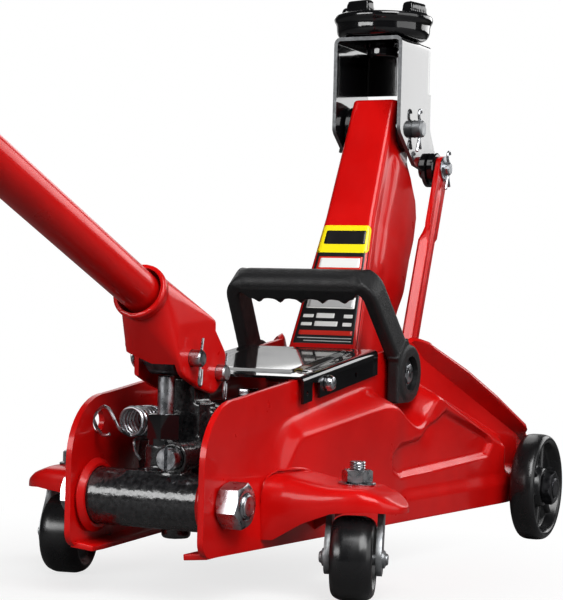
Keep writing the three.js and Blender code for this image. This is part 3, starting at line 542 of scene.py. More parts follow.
def wall(x, z):
    """Outer half width of the side plate."""
    narrow = NARROW + 4.5 * clamp((x + 300) / 195) + 28 * clamp((x + 105) / 110)
    wide = max(narrow, NARROW + (WIDE - NARROW) * clamp((x + 325) / 307))
    slope = mix(56, 11, ease((x + 292) / 40))
    below = ease((ridge_z(x) - z) / slope)
    nose = 1 - ease((x + 20) / 9) * ease((z - 38) / 8)
    y = mix(narrow, wide, below * nose)
    panel = ease((x + 160) / 20) * (1 - ease((x + 24) / 10))
    y -= 1.6 * panel * ease((z - 33) / 8) * below
    y -= 2.8 * ease(depth_inside(POCKET, x, z) / 3.4 + 0.3)
    y -= 3.0 * hump(x, PIVOT.x + 9, 7) * hump(z, PIVOT.z - 21, 11)
    return y


# x, how far the plate's upper edge leans out there, and how far it rises
LIP = [(PEAK[0] - 2, 0, 0), (PEAK[0] + 9, 6, 6.6), (-60, 8, 7.4), (-30, 8.4, 6), (5, 7, 3.6), (9, 4, 2)]


def lip_at(x):
    """How far the plate's upper edge leans out and rises at x."""
    return along([(p[0], p[1]) for p in LIP], x), along([(p[0], p[2]) for p in LIP], x)


def plate_columns():
    columns = [REAR_X + REAR_RADIUS * (1 - math.cos(i * math.pi / 24)) for i in range(13)]
    count = 230
    return columns + [mix(columns[-1], FRONT_X, i / count) for i in range(1, count + 1)]


def plate_sheet():
    columns = plate_columns()
    rows, lip_rows = 80, 5

    def point(u, v):
        x = columns[round(u * (len(columns) - 1))]
        out, rise = lip_at(x)
        edge = plate_top(x) - 4 * ease((x - PEAK[0]) / 12)
        k = v * (rows + lip_rows)
        if k <= rows:
            z = mix(plate_foot(x), edge, k / rows)
            return x, wall(x, z), z
        t = (k - rows) / lip_rows
        return x, wall(x, edge) + out * t, edge + rise * t

    return grid(len(columns) - 1, rows + lip_rows, point)


def foot_flange():
    def point(u, v):
        x = mix(REAR_X + 5, FRONT_X - 5, u)
        return x, wall(x, PLATE_FOOT) - 0.4 - 12 * v, PLATE_FOOT - 0.2 - 1.2 * v

    return grid(60, 4, point)


def bake(obj):
    """Replaces a piece's mesh by what its modifiers make of it."""
    bpy.context.view_layer.update()
    evaluated = obj.evaluated_get(bpy.context.evaluated_depsgraph_get())
    mesh = bpy.data.meshes.new_from_object(evaluated)
    obj.modifiers.clear()
    obj.data = mesh
    soft_shading(mesh)


def side_plates():
    for side, turn in SIDES:
        plate = piece(f"{side}_plate", turn(plate_sheet()), "chassis", "red_paint", (f"{side}_side_plate",),
                      closed=False, sheet=-SHEET)
        if side == "left":
            x, z = SPRING_HOLE
            carve(plate, pin((x, 25, z), (x, 45, z), 5.2, 0.01, 40))
        add_bevel(plate, 0.7)
        piece(f"{side}_foot_flange", turn(foot_flange()), "chassis", "red_paint", closed=False,
              sheet=2.8, bevel=0.4)


# ---- caster brackets ----
HORN_TIP = reach("left_caster_bracket")[1].y
# by distance from the middle of the jack: height of the horn's top and of its skirt, and its half width
HORN_TOP = [(34, 58.5), (50, 57.6), (62, 55.2), (70, 54.1), (86, 53.8), (95, 50.5), (104, 44.6)]
HORN_SKIRT = [(34, 27), (46, 27.5), (60, 36), (74, 41.5), (90, 43), (104, 42)]
HORN_HALF = [(34, 27), (84, 20)]
HORN_NOSE = 24
WELD_SEED = 4


def horn():
    """Pressed steel horn: an upside-down channel that narrows and closes to a rounded nose."""
    def point(u, v):
        angle = math.pi * u
        flat = abs(math.cos(angle)) ** 0.4 * (1 if math.cos(angle) > 0 else -1)
        tall = abs(math.sin(angle)) ** 0.42
        root = wall(CASTER.x - 20 * flat, 50) + 0.2
        y = mix(root, HORN_TIP, 1 - (1 - v) ** 1.25)
        nose = math.sqrt(max(0, 1 - clamp((y - HORN_TIP + HORN_NOSE) / HORN_NOSE) ** 2))
        half = along(HORN_HALF, y) * nose
        low, high = along(HORN_SKIRT, y), along(HORN_TOP, y)
        return CASTER.x - half * flat, y, mix(low, high, tall)

    return grid(44, 40, point)


def weld_bead(path, radius):
    """A bead of weld that wanders a little off its path."""
    random.seed(WELD_SEED)
    wobbly = [Vector(p) + Vector([random.uniform(-0.3, 0.3) for _ in range(3)]) for p in path]
    return sweep(wobbly, radius, 8)


def horn_weld():
    path = []
    for k in range(25):
        angle = math.pi * (0.12 + 0.76 * k / 24)
        flat = abs(math.cos(angle)) ** 0.55 * (1 if math.cos(angle) > 0 else -1)
        x = CASTER.x - 25 * flat
        z = mix(27, 59, abs(math.sin(angle)) ** 0.5)
        path.append((x, wall(x, z) + 0.4, z))
    return weld_bead(path, 0.7)


def caster_fork():
    wheel = CASTER_WHEEL
    half = 13.6
    top = reach("left_caster_fork")[1].z
    bend, foot = 3.5, 8
    bottom = wheel.z - foot

    def section(v):
        """Walks up one leg, over the top and down the other, and gives y from the stem and z."""
        if v > 0.5:
            y, z = section(1 - v)
            return -y, z
        leg = top - bend - bottom
        arc = bend * math.pi / 2
        s = v * 2 * (leg + arc + half - bend)
        if s < leg:
            return half, bottom + s
        if s < leg + arc:
            angle = (s - leg) / bend
            return half - bend + bend * math.cos(angle), top - bend + bend * math.sin(angle)
        return half - bend - (s - leg - arc), top

    def point(u, v):
        y, z = section(v)
        lean = ease((top - 4 - z) / (top - 4 - wheel.z))
        x = mix(CASTER.x, wheel.x, lean)
        width = mix(6.3, foot, lean)
        if z < wheel.z:
            width = math.sqrt(max(0.01, foot ** 2 - (z - wheel.z) ** 2))
        return x + width * (2 * u - 1), CASTER.y + y, z

    return grid(10, 90, point)


def caster_wheel():
    w, r = 10, CASTER_WHEEL.z
    half = [(r, w / 2), (r - 1.2, w - 1.6), (r - 3, w), (15.5, w), (13, w - 3), (8, w - 2), (3.5, w - 2)]
    profile = [(radius, -height) for radius, height in reversed(half)] + half
    return lathe(rounded(profile, 1.3, 4), CASTER_WHEEL, ACROSS, 72)


def swivelled(shape, side):
    """Turns a shape made straight ahead on the left caster to where that side's caster stands."""
    stem, wheel = spot(f"{side}_caster_bolt"), spot(f"{side}_caster_wheel")
    turn = math.atan2(stem.y - wheel.y, stem.x - wheel.x)
    c, s = math.cos(turn), math.sin(turn)
    points = [(p[0] - CASTER.x, p[1] - CASTER.y, p[2]) for p in shape[0]]
    return [(stem.x + x * c - y * s, stem.y + x * s + y * c, z) for x, y, z in points], shape[1]


def casters():
    pair("horn", horn(), "chassis", "red_paint", "caster_bracket", closed=False, sheet=2.6, bevel=0.5)
    pair("horn_weld", horn_weld(), "chassis", "red_paint")
    x, y, z = CASTER_WHEEL
    end = 15
    rivet = [pin((x, y - end, z), (x, y + end, z), 3, 0.4)]
    head = [(0, 0), (3, 0.2), (4.2, 0.8), (4.2, 2.1), (0, 2.1)]
    burr = [(1.2, 0.6), (2.0, -0.9), (2.7, -0.5), (2.9, 0.6)]
    for side in (1, -1):
        tip = (x, y + side * (end + 0.5), z)
        rivet += [lathe(head, tip, (0, -side, 0), 32), lathe(burr, tip, (0, -side, 0), 24)]
    for side in ("left", "right"):
        fork = piece(f"{side}_fork", swivelled(caster_fork(), side), f"{side}_caster_yoke", "grey_steel",
                     (f"{side}_caster_fork",), closed=False, sheet=-2.8)
        add_bevel(fork, 0.5)
        piece(f"{side}_roller_wheel", swivelled(caster_wheel(), side), f"{side}_caster_roll", "wheel_black",
              (f"{side}_caster_wheel",))
        piece(f"{side}_rivet", swivelled(merge(*rivet), side), f"{side}_caster_yoke", "grey_steel",
              (f"{side}_caster_axle",))
    x, y = CASTER.x, CASTER.y
    low, high = reach("left_caster_nut")
    washer = lathe([(4.4, 0), (8.8, 0), (9, 0.3), (9, 0.9), (8.6, 1.2), (4.4, 1.2), (4.4, 0)],
                   (x, y, low.z - 0.5), UP)
    hexagon = nut((x, y, low.z + 0.7), (x, y, high.z + 0.3), 13, 4.05)
    pair("stem_nut", merge(hexagon, washer), "chassis", "zinc", "caster_nut")
    low, high = reach("left_caster_bolt")
    race = lathe([(4.2, 0), (8.6, 0), (9, 0.5), (9, 1.8), (8.2, 2.4), (4.2, 2.4), (4.2, 0)], (x, y, 48.3), UP)
    stem = merge(pin((x, y, low.z), (x, y, 55), 4), threads((x, y, 55), (x, y, high.z + 1.5), 4, 1.25),
                 race, nut((x, y, low.z), (x, y, low.z + 2.7), 12, 0))
    pair("stem", stem, "chassis", "zinc", "caster_bolt")


# ---- front wheels ----
def front_wheel():
    low, high = reach("left_front_wheel")
    r, face, back = WHEEL.z, high.y, low.y
    rear_face = [(6.5, back), (10, back), (12, back + 5), (24, back + 5), (26.5, back)]
    tread = [(r - 2.2, back), (r - 0.5, back + 1.4), (r, back + 4), (r, face - 5), (r - 0.6, face - 1.8),
             (r - 2.2, face - 0.2), (r - 3.6, face), (r - 5, face - 1)]
    dish = [(24.8, face - 7), (13, face - 6.6), (11, face - 2), (6.5, face - 1.6), (6.5, back)]
    wheel = lathe(rounded(rear_face + tread + dish, 1.2, 3), (WHEEL.x, 0, WHEEL.z), ACROSS, 96)
    ribs = []
    for k in range(6):
        angle = math.radians(60 * k + 20)
        c, s = math.cos(angle), math.sin(angle)

        def point(u, v, c=c, s=s):
            radius = mix(10.5, 26, v)
            across = mix(-2.6, 2.6, u)
            lift = (1 - abs(2 * u - 1) ** 3) * mix(3.4, 3.0, v)
            return (WHEEL.x + radius * c - across * s, face - 7.4 + lift, WHEEL.z + radius * s + across * c)

        ribs.append(grid(8, 8, point))
    return merge(wheel, *ribs)


def front_end():
    pair("road_wheel", front_wheel(), "{side}_front_roll", "wheel_black", "front_wheel", closed=False)
    x, z = WHEEL.x, WHEEL.z
    low, high = reach("left_axle_nut")
    pair("wheel_nut", nut((x, low.y, z), (x, high.y, z), 18, 6.1), "chassis", "dark_steel", "axle_nut")
    end = reach("front_axle")[1].y
    shaft = merge(pin((x, 5 - end, z), (x, end - 5, z), 5.6),
                  pin((x, -76, z), (x, -72.4, z), 9), pin((x, 72.4, z), (x, 76, z), 9),
                  threads((x, end - 6, z), (x, end + 2.2, z), 6, 1.5),
                  threads((x, 6 - end, z), (x, -end - 2.2, z), 6, 1.5))
    piece("axle_shaft", shaft, "chassis", "dark_steel", ("front_axle",))


# ---- cutting and fusing ----
def carve(obj, *shapes, crossed=False):
    """Cuts closed shapes out of a piece. crossed is for a piece whose own faces run through each other."""
    for shape in shapes:
        mesh = new_mesh("cutter", shape)
        tidy_mesh(mesh, True)
        cutter = new_object("cutter", mesh)
        boolean = obj.modifiers.new("carve", "BOOLEAN")
        boolean.use_self = crossed
        boolean.object = cutter
        boolean.operation = "DIFFERENCE"
        boolean.solver = "EXACT"
        bake(obj)
        bpy.data.objects.remove(cutter)


def fuse(obj, voxel, smoothing, roughness=0.0, grain=2.0):
    """Turns overlapping closed shapes into one casting with soft inner corners and a rough skin."""
    remesh = obj.modifiers.new("fuse", "REMESH")
    remesh.mode = "VOXEL"
    remesh.voxel_size = voxel * MM
    smooth = obj.modifiers.new("soften", "SMOOTH")
    smooth.factor = 0.5
    smooth.iterations = smoothing
    if roughness:
        texture = bpy.data.textures.new("sand", "CLOUDS")
        texture.noise_scale = grain * MM
        displace = obj.modifiers.new("sand", "DISPLACE")
        displace.texture = texture
        displace.texture_coords = "LOCAL"
        displace.strength = roughness * MM
    bake(obj)
    soft_shading(obj.data, 60)


def hull(points):
    """The convex shape round a set of points."""
    work = bmesh.new()
    for point in points:
        work.verts.new(point)
    result = bmesh.ops.convex_hull(work, input=work.verts)
    inside = [g for g in result["geom_interior"] if isinstance(g, bmesh.types.BMVert)]
    bmesh.ops.delete(work, geom=inside, context="VERTS")
    work.verts.index_update()
    shape = ([tuple(v.co) for v in work.verts], [tuple(v.index for v in f.verts) for f in work.faces])
    work.free()
    return shape


def rod_y(place, y0, y1, radius, chamfer=0.5):
    """A round bar across the jack, at the place's x and z."""
    return pin((place.x, y0, place.z), (place.x, y1, place.z), radius, chamfer, 36)


def ring_y(place, y0, y1, radius, bore, edge=0.6):
    """A washer or collar across the jack."""
    width = y1 - y0
    profile = [(bore, 0), (radius - edge, 0), (radius, edge), (radius, width - edge), (radius - edge, width),
               (bore, width), (bore, 0)]
    return lathe(profile, (place.x, y0, place.z), ACROSS, 48)


def cotter(place, y, radius):
    """A split pin through the end of a pin that lies across the jack."""
    x, z = place.x, place.z
    side = 1 if y > 0 else -1
    loop = [(x + 2.0 * math.cos(a), y + side * 0.3, z + radius + 3.0 + 3.2 * math.sin(a))
            for a in [math.radians(300 - 30 * k) for k in range(10)]]
    under = z - radius
    leg = [(x, y, z + radius), (x, y, under - 0.5), (x - 1.2, y, under - 3.4), (x - 3.4, y, under - 8.4)]
    other = [(x, y, under - 0.3), (x + 1.0, y, under - 3.2), (x + 2.6, y, under - 6.6)]
    return merge(sweep(spline(loop, 3), 0.85, 8), sweep(spline(leg, 4), 0.95, 8),
                 sweep(spline(other, 4), 0.85, 8))


# ---- handle socket and handle ----
MOUTH = Vector((-341, 0, 143.5))
HANDLE_ANGLE = math.radians(22.9)
HANDLE_AXIS = Vector((-math.cos(HANDLE_ANGLE), 0, math.sin(HANDLE_ANGLE)))
SOCKET_HALF = reach("handle_socket")[1].y
# outline of the socket's two cheeks
EARS = [(-289.5, 131), (-277.5, 113), (-279, 102), (-289, 94.5), (-303, 97.5), (-322, 104.5), (-327, 113),
        (-328, 128)]


def handle_socket():
    ring_side, ring_up, _ = basis(HANDLE_AXIS)

    def ring(s, radius):
        return [MOUTH + HANDLE_AXIS * s + (ring_side * math.cos(a) + ring_up * math.sin(a)) * radius
                for a in [2 * math.pi * k / 40 for k in range(40)]]

    ears = rounded([EARS[-1], *EARS, EARS[0]], 4, 5)[2:-2]
    cheeks = [(x, y, z) for x, z in ears for y in (-SOCKET_HALF, SOCKET_HALF)]
    lip = lathe([(0, -6), (12.2, -6), (13.2, -3.4), (13.5, -1), (13, 0), (0, 0)], MOUTH, HANDLE_AXIS, 48)
    seam = hull([(x, y, z) for x in (-326.5, -321) for y in (12.5, SOCKET_HALF + 1.4) for z in (117, 131)])
    tube = pin(MOUTH - HANDLE_AXIS * 30, MOUTH - HANDLE_AXIS, 12.2, 0.5, 48)
    body = merge(hull(ring(-6, 12.2) + ring(-26, 12.6) + cheeks), tube, lip, seam)
    obj = piece("socket", body, "pump_lever", "red_paint", ("handle_socket",))
    fuse(obj, 0.7, 6)
    hollow = [(-325.6, 127), (-317, 127), (-298, 124), (-293, 128), (-262, 112), (-262, 88), (-290, 78),
              (-325, 90)]
    inside = SOCKET_HALF - 2.6
    inner = hull([(x, y, z) for x, z in hollow for y in (-inside, inside)])
    slant = hull([(x, y, z) for top, y, front in ((118, 20, -318), (107, -5, -322))
                  for x in (-340, front) for z in (top, 90)])
    bore = pin(MOUTH - HANDLE_AXIS * 33, MOUTH + HANDLE_AXIS * 10, 11.3, 0.01, 48)
    notch = [(-290.2, 140), (-290.2, 125.2), (-276.5, 111.6), (-268, 140)]
    step = hull([(x, y, z) for x, z in notch for y in (-20, 20)])
    carve(obj, inner, bore, slant, step, rod_y(FULCRUM, -30, 30, 4.2),
          rod_y(ROLLER, -30, 30, 4.2))
    add_bevel(obj, 0.5, 2, 50)


def tube_piece(name, start, end, radius, bore, body, finish, node):
    profile = [(bore, 1), (bore + 0.5, 0), (radius - 0.7, 0), (radius, 0.7), (radius, end - start - 0.7),
               (radius - 0.7, end - start), (bore + 0.5, end - start), (bore, end - start - 1), (bore, 1)]
    piece(name, lathe(subdivided(profile, 12), MOUTH + HANDLE_AXIS * start, HANDLE_AXIS, 64), body, finish,
          (node,))


def handle():
    tube_piece("lower_tube", -29, 190, 9.6, 7.9, "long_handle", "red_paint", "handle_lower_tube")
    spigot = lathe([(6.2, 0), (7.2, 0), (7.6, 1), (7.6, 34), (9.1, 34.3), (9.6, 34.8), (9.6, 215.4), (9, 216),
                    (6.2, 216), (6.2, 0)], MOUTH + HANDLE_AXIS * 156, HANDLE_AXIS, 64)
    piece("upper_tube", spigot, "long_handle", "red_paint", ("handle_upper_tube",))
    profile = [(9.9, 0), (12.2, 0), (13.2, 1.2)]
    for k in range(17):
        s = 6 + 6 * k
        profile += [(13.3, s), (13.3, s + 3.6), (12.5, s + 4.2), (12.5, s + 5.4)]
    profile += [(13.4, 109), (13.4, 113), (12.4, 115.6), (10, 116), (0, 116)]
    grip = lathe(profile, MOUTH + HANDLE_AXIS * 262, HANDLE_AXIS, 72)
    piece("grip_sleeve", grip, "long_handle", "black_plastic", ("handle_grip",), closed=False, bevel=0.3)


# hairpin clip round the end of an axle, as (x, z) from the axle's middle
SPRING_CLIP = [(2.0, 9.5), (1.2, 6), (0.4, 2), (0, -2), (-0.4, -6), (-1.0, -9), (-0.6, -12), (0.8, -12.4),
               (1.4, -9.6), (1.6, -5)]


def lever_hardware():
    x, z = ROLLER.x, ROLLER.z
    low, high = reach("roller")
    half, radius = high.y - 0.1, (high.z - low.z) / 2
    profile = [(4.25, -half), (radius - 0.8, -half), (radius, 0.9 - half), (radius, half - 0.9),
               (radius - 0.8, half), (4.25, half), (4.25, -half)]
    barrel = lathe(rounded(profile, 0.3), (x, 0, z), ACROSS, 56)
    piece("press_roller", barrel, "pump_roller", "dark_steel", ("roller",))
    for name, node, place, body in (("roller_pin", "roller_axle", ROLLER, "pump_lever"),
                                    ("lever_pin", "fulcrum_pin", FULCRUM, "chassis")):
        low, high = reach(node)
        clip = [(place.x + dx, low.y + 1.4, place.z + dz) for dx, dz in SPRING_CLIP]
        collar = ring_y(place, high.y - 2.5, high.y, 6, 0.1, 0.9)
        axle = merge(rod_y(place, low.y, high.y - 2.3, 4, 0.7), collar, sweep(spline(clip), 0.7, 8))
        piece(name, axle, body, "zinc", (node,))


# ---- hydraulic unit ----
def pump():
    base = box_shape(-328, -284.2, -13, 13, 42, 60)
    column = box_shape(-301, -284.6, -12, 6.5, 50, 91)
    neck = box_shape(-301, -284.6, -9, 6.5, 88, 103)
    boss = pin((PLUNGER.x, 0, 50), (PLUNGER.x, 0, 72), 9.2, 0.6)
    web = box_shape(PLUNGER.x, -295, -8, 8, 50, 72)
    valve = pin((-300, SCREW.y, SCREW.z), (-327, SCREW.y, SCREW.z), 7.6, 0.6)
    flange = pin((-292, 0, 64), (-284.2, 0, 64), 27, 1)
    drain = pin((-305, -3, 27), (-305, -3, 45), 7, 1)
    ear = rod_y(FULCRUM, -10, 10, 9.3)
    sleeve = ring_y(TRUNNION, -32.8, 32.8, 13.6, 0.1, 1.2)
    shapes = merge(base, column, neck, boss, web, valve, flange, drain, ear, sleeve)
    obj = piece("casting", shapes, "chassis", "black_casting", ("pump_block",))
    fuse(obj, 0.8, 8, 0.2, 2.6)
    px, sy, sz = PLUNGER.x, SCREW.y, SCREW.z
    carve(obj, rod_y(TRUNNION, -40, 40, 6.2), rod_y(FULCRUM, -20, 20, 4.2),
          pin((px, 0, 71.5), (px, 0, 92), 9.2, 0.01), pin((-328.4, sy, sz), (-325.2, sy, sz), 6.3, 0.01),
          pin((px, 0, 61), (px, 0, 80), 4.2, 0.01))
    collar = lathe([(4.3, 0), (7.4, 0), (8, 0.6), (8, 6.9), (4.3, 6.9), (4.3, 0)], (px, 0, 67.5), UP, 48)
    gland = merge(nut((px, 0, 73.4), (px, 0, 86), 15, 4.3), collar)
    piece("gland", gland, "chassis", "black_paint", ("gland_nut",))
    top = reach("plunger")[1].z
    stem = pin((px, 0, 74), (px, 0, top), 4, 0.5, 48)
    piece("plunger_rod", stem, "pump_plunger", "zinc", ("plunger",))
    head = lathe([(0, 22), (2.9, 22), (2.9, 22.4), (5.0, 22.6), (5.4, 23.2), (5.4, 29.2), (4.9, 30), (0, 30)],
                 (-303, sy, sz), (-1, 0, 0), 48)
    shank = pin((-303, sy, sz), (-326, sy, sz), 2.9)
    screw = piece("bleed_screw", merge(head, shank), "release_screw", "zinc", ("release_valve",))
    carve(screw, box_shape(-334, -331, sy - 0.9, sy + 0.9, sz - 8, sz + 8), crossed=True)
    add_bevel(screw, 0.2)


def cylinder():
    low, high = reach("reservoir_cylinder")
    length = high.x - low.x
    profile = [(0, 0), (22.5, 0), (24.6, 1.6), (25, 3.4), (25, length - 2.5), (24.2, length - 0.8),
               (22.6, length), (20, length), (20, length - 3), (0, length - 3)]
    shape = lathe(subdivided(profile, 8), (low.x, 0, 66), (1, 0, 0), 72)
    piece("reservoir", shape, "chassis", "black_paint", ("reservoir_cylinder",))
    dress("cylinder_cap", "dark_steel", 0.8)
    dress("oil_plug", "zinc", 0.5)
    dress("ram", "chrome", 0.6)
    dress("ram_yoke", "dark_steel", 0.8)


def trunnion():
    x, z = TRUNNION.x, TRUNNION.z
    hexagon = nut((x, -wall(x, z) - 0.1, z), (x, reach("trunnion_nut")[0].y, z), 19, 6.05)
    piece("cross_nut", hexagon, "chassis", "zinc", ("trunnion_nut",))
    bolt = merge(rod_y(TRUNNION, -38, 40, 5.9), threads((x, -38, z), (x, -49.5, z), 6, 1.75),
                 nut((x, 38.6, z), (x, 46, z), 19, 0))
    piece("cross_bolt", bolt, "chassis", "zinc", ("trunnion_bolt",))
    pair("tube_seat", ring_y(TRUNNION, 29.3, 34.2, 17.5, 13.9, 2.2), "chassis", "red_paint")


# ---- cover ----
COVER_LOW, COVER_HIGH = reach("cover_plate")
COVER_REAR_TOP, COVER_FRONT_TOP = 103, 115.2
# x, height and radius of the small holes through both sides of the cover
COVER_HOLES = [(-183, 102.4, 1.3), (-243.5, 95, 1.1)]
COVER_SLOPE = (COVER_FRONT_TOP - COVER_REAR_TOP) / (COVER_HIGH.x - COVER_LOW.x)


def cover():
    half = COVER_HIGH.y
    section = rounded([(-half, 13.4), (-half, 0), (half, 0), (half, 13.4)], 3.2, 6)
    across = subdivided(section, 2)
    low, high = COVER_LOW.x, COVER_HIGH.x

    def point(u, v):
        y, drop = across[round(v * (len(across) - 1))]
        x = mix(low, high, u)
        edge = min(31 - abs(y), x - low - 10, high - 10 - x)
        raised = 1.1 * ease(edge / 3)
        dimple = 0.8 * hump(x, low + 16, 3) * hump(abs(y), 34.5, 2.2)
        return x, y, COVER_REAR_TOP + (x - low) * COVER_SLOPE - drop + (raised - dimple if drop < 0.5 else 0)

    obj = piece("cover", grid(60, len(across) - 1, point), "chassis", "black_paint", ("cover_plate",),
                closed=False, sheet=1.3)
    notch = box_shape(low + 10.5, low + 19.5, -60, 60, 80, COVER_REAR_TOP + 15 * COVER_SLOPE - 5)
    carve(obj, notch, rod_y(COVER_SCREW, -60, 60, 2.5),
          *[rod_y(Vector((x, 0, z)), -60, 60, radius) for x, z, radius in COVER_HOLES])
    add_bevel(obj, 0.35)
    x, z = COVER_SCREW.x, COVER_SCREW.z
    head = lathe([(0, 4.5), (1.5, 4.4), (3.2, 3.6), (4.1, 2), (4.2, 0.8), (4.1, 0.2), (2.1, 0.2), (2.1, -1.4),
                  (0, -1.4)], (x, half, z), ACROSS, 40)
    for side, turn in SIDES:
        screw = piece(f"{side}_lid_screw", turn(head), "chassis", "zinc", (f"{side}_cover_screw",))
        y = half + 3.2
        carve(screw, turn(box_shape(x - 2.6, x + 2.6, y, y + 3, z - 0.45, z + 0.45)),
              turn(box_shape(x - 0.45, x + 0.45, y, y + 3, z - 2.6, z + 2.6)))


# ---- lift arm ----
ARM_ANGLE = math.atan2(MAIN.z - PIVOT.z, MAIN.x - PIVOT.x)
ARM_LENGTH = math.hypot(MAIN.z - PIVOT.z, MAIN.x - PIVOT.x)
# the arm from the side, as (distance along it, distance towards its web), and its half width
ARM_UPPER = [(-26, -41), (-24, -36), (-15, -3), (-14, 4), (-11, 10), (-6, 13.6), (2, 15), (8, 15), (50, 16),
             (94, 17), (160, 17.9), (167.5, 17.4), (171.5, 10), (173.4, 4), (174, 0)]
ARM_LOWER = [(-26, -42), (-24.6, -46), (-20, -48.4), (-16, -48.8), (-10, -47.6), (-4, -44), (12, -38),
             (48, -35), (104, -40), (118, -38), (126, -33), (133, -22), (139, -15), (145, -14), (157, -14),
             (164, -12.8), (170, -9), (173, -3), (174, -1)]
ARM_HALF = [(-60, 22), (0, 22), (90, 15.4), (150, 14), (190, 14)]
FOLD = 3.5


def arm_point(u, side, v):
    """From arm directions, u along the arm and v towards its web, to jack directions."""
    c, s = math.cos(ARM_ANGLE), math.sin(ARM_ANGLE)
    return PIVOT.x + u * c - v * s, side, PIVOT.z + u * s + v * c


def lift_arm():
    stations = [mix(-26, -8, k / 12) for k in range(12)] + [mix(-8, 160, k / 60) for k in range(60)]
    stations += [mix(160, 173.8, k / 14) for k in range(15)]
    cheek, bend, web = 16, 6, 8

    def point(u, v):
        length = stations[round(u * (len(stations) - 1))]
        upper, lower, half = along(ARM_UPPER, length), along(ARM_LOWER, length), along(ARM_HALF, length)
        fold = min(FOLD, (upper - lower) * 0.5)
        k = round(v * 2 * (cheek + bend + web))
        sign = -1 if k <= cheek + bend + web else 1
        k = min(k, 2 * (cheek + bend + web) - k)
        if k <= cheek:
            height = mix(lower, upper - fold, k / cheek)
            pressed = 2.4 * ease((length - 50) / 20) * ease((146 - length) / 12)
            pressed *= ease((upper - 9 - height) / 7)
            return arm_point(length, sign * (half + pressed), height)
        if k <= cheek + bend:
            turn = (k - cheek) / bend * math.pi / 2
            side = half - fold + fold * math.cos(turn)
            return arm_point(length, sign * side, upper - fold + fold * math.sin(turn))
        return arm_point(length, sign * mix(half - fold, 0, (k - cheek - bend) / web), upper)

    channel = grid(len(stations) - 1, 2 * (cheek + bend + web), point)
    obj = piece("arm_channel", channel, "arm", "red_paint", ("lift_arm",), closed=False, sheet=SHEET)
    foot = [arm_point(u, side, v) for u in (-40, -1) for v in (-60, 40) for side in (-18.6, 18.6)]
    bores = [rod_y(hole, -40, 40, radius)
             for hole, radius in ((PIVOT, 8.2), (MAIN, 5.2), (CRANK, 4.2))]
    carve(obj, hull(foot), *bores, crossed=True)
    add_bevel(obj, 0.6, 2, 50)
    piece("crank_rod", rod_y(CRANK, -24.5, 24.5, 4), "arm", "dark_steel", ("crank_pin",))
    shaft = merge(rod_y(PIVOT, -36, 36, 8), rod_y(PIVOT, -41.5, 41.5, 7))
    piece("pivot_rod", shaft, "chassis", "dark_steel", ("arm_pivot_shaft",))


def label(name, u0, u1, side0, side1, finish, lift, radius):
    """A thin panel laid over the arm's web from u0 to u1; its sides are shares of the web's half width."""
    def point(u, v):
        length = mix(u0, u1, (1 - math.cos(math.pi * u)) / 2)
        corner = max(0, radius - min(length - u0, u1 - length))
        inset = radius - math.sqrt(radius ** 2 - corner ** 2)
        half = along(ARM_HALF, length)
        side = mix(side0 * (half - 0.8) + inset, side1 * (half - 0.8) - inset, v)
        over = max(0, abs(side) - half + FOLD)
        drop = FOLD - math.sqrt(FOLD ** 2 - over ** 2)
        return arm_point(length, side, along(ARM_UPPER, length) + lift - drop)

    piece(name, grid(30, 16, point), "arm", finish, closed=False, sheet=0.1)


# name, start and end along the arm, left and right share of the web, colour, lift and corner radius
PANELS = [("top", 66, 83.5, -1, 1, "yellow", 0.2, 2.5),
          ("top_bar", 71.5, 80, -0.84, 0.76, "black", 0.32, 0.8),
          ("low", 9.5, 67.5, -1, 1, "black", 0.14, 0.4),
          ("low_frame", 55.5, 63.5, -0.84, 0.8, "red", 0.26, 0.5),
          ("low_field", 56.5, 62.5, -0.76, 0.72, "white", 0.38, 0.4),
          ("low_block", 31, 38, -0.8, 0.78, "white", 0.26, 0.4),
          ("low_block_field", 31.8, 37.2, -0.74, 0.72, "grey", 0.38, 0.3),
          ("low_row_0_a", 25.2, 27.4, -0.78, -0.5, "white", 0.26, 0.3),
          ("low_row_0_b", 25, 28, -0.2, 0.38, "white", 0.26, 0.3),
          ("low_row_0_c", 25.2, 27.2, 0.46, 0.8, "white", 0.26, 0.3),
          ("low_row_1_a", 20.2, 22.4, -0.78, -0.5, "white", 0.26, 0.3),
          ("low_row_1_b", 20, 23, -0.34, 0.38, "white", 0.26, 0.3),
          ("low_row_1_c", 20.2, 22.2, 0.46, 0.8, "white", 0.26, 0.3),
          ("low_bar", 14.6, 17.4, -0.84, 0.8, "red", 0.26, 0.4),
          ("low_line_0", 12.5, 13.1, -0.84, 0.8, "grey", 0.26, 0.2),
          ("low_line_1", 10.7, 11.3, -0.84, 0.6, "grey", 0.26, 0.2)]


def arm_labels():
    for name, u0, u1, side0, side1, color, lift, radius in PANELS:
        label(f"panel_{name}", u0, u1, side0, side1, f"label_{color}", lift, radius)


# ---- saddle, bracket and links ----
BRACKET_LOW, BRACKET_HIGH = reach("saddle_bracket")
BRACKET_REAR = BRACKET_LOW.x
BRACKET_FRONT = MAIN.x + 25.2
FLANGE_FOOT = 267
LOBE = 11


def bracket_edges(z):
    rear = BRACKET_REAR if z >= 241 else mix(-37, BRACKET_REAR, clamp((z - 209) / 32))
    if z < LINK_TOP.z + 6.3:
        reach_x = math.sqrt(max(0, LOBE ** 2 - (z - LINK_TOP.z) ** 2))
        front = LINK_TOP.x + reach_x
        if z < LINK_TOP.z:
            rear = max(rear, LINK_TOP.x - reach_x)
    else:
        front = mix(LINK_TOP.x + 9, BRACKET_FRONT, clamp((z - LINK_TOP.z - 6.3) / 17.2))
    return rear, front


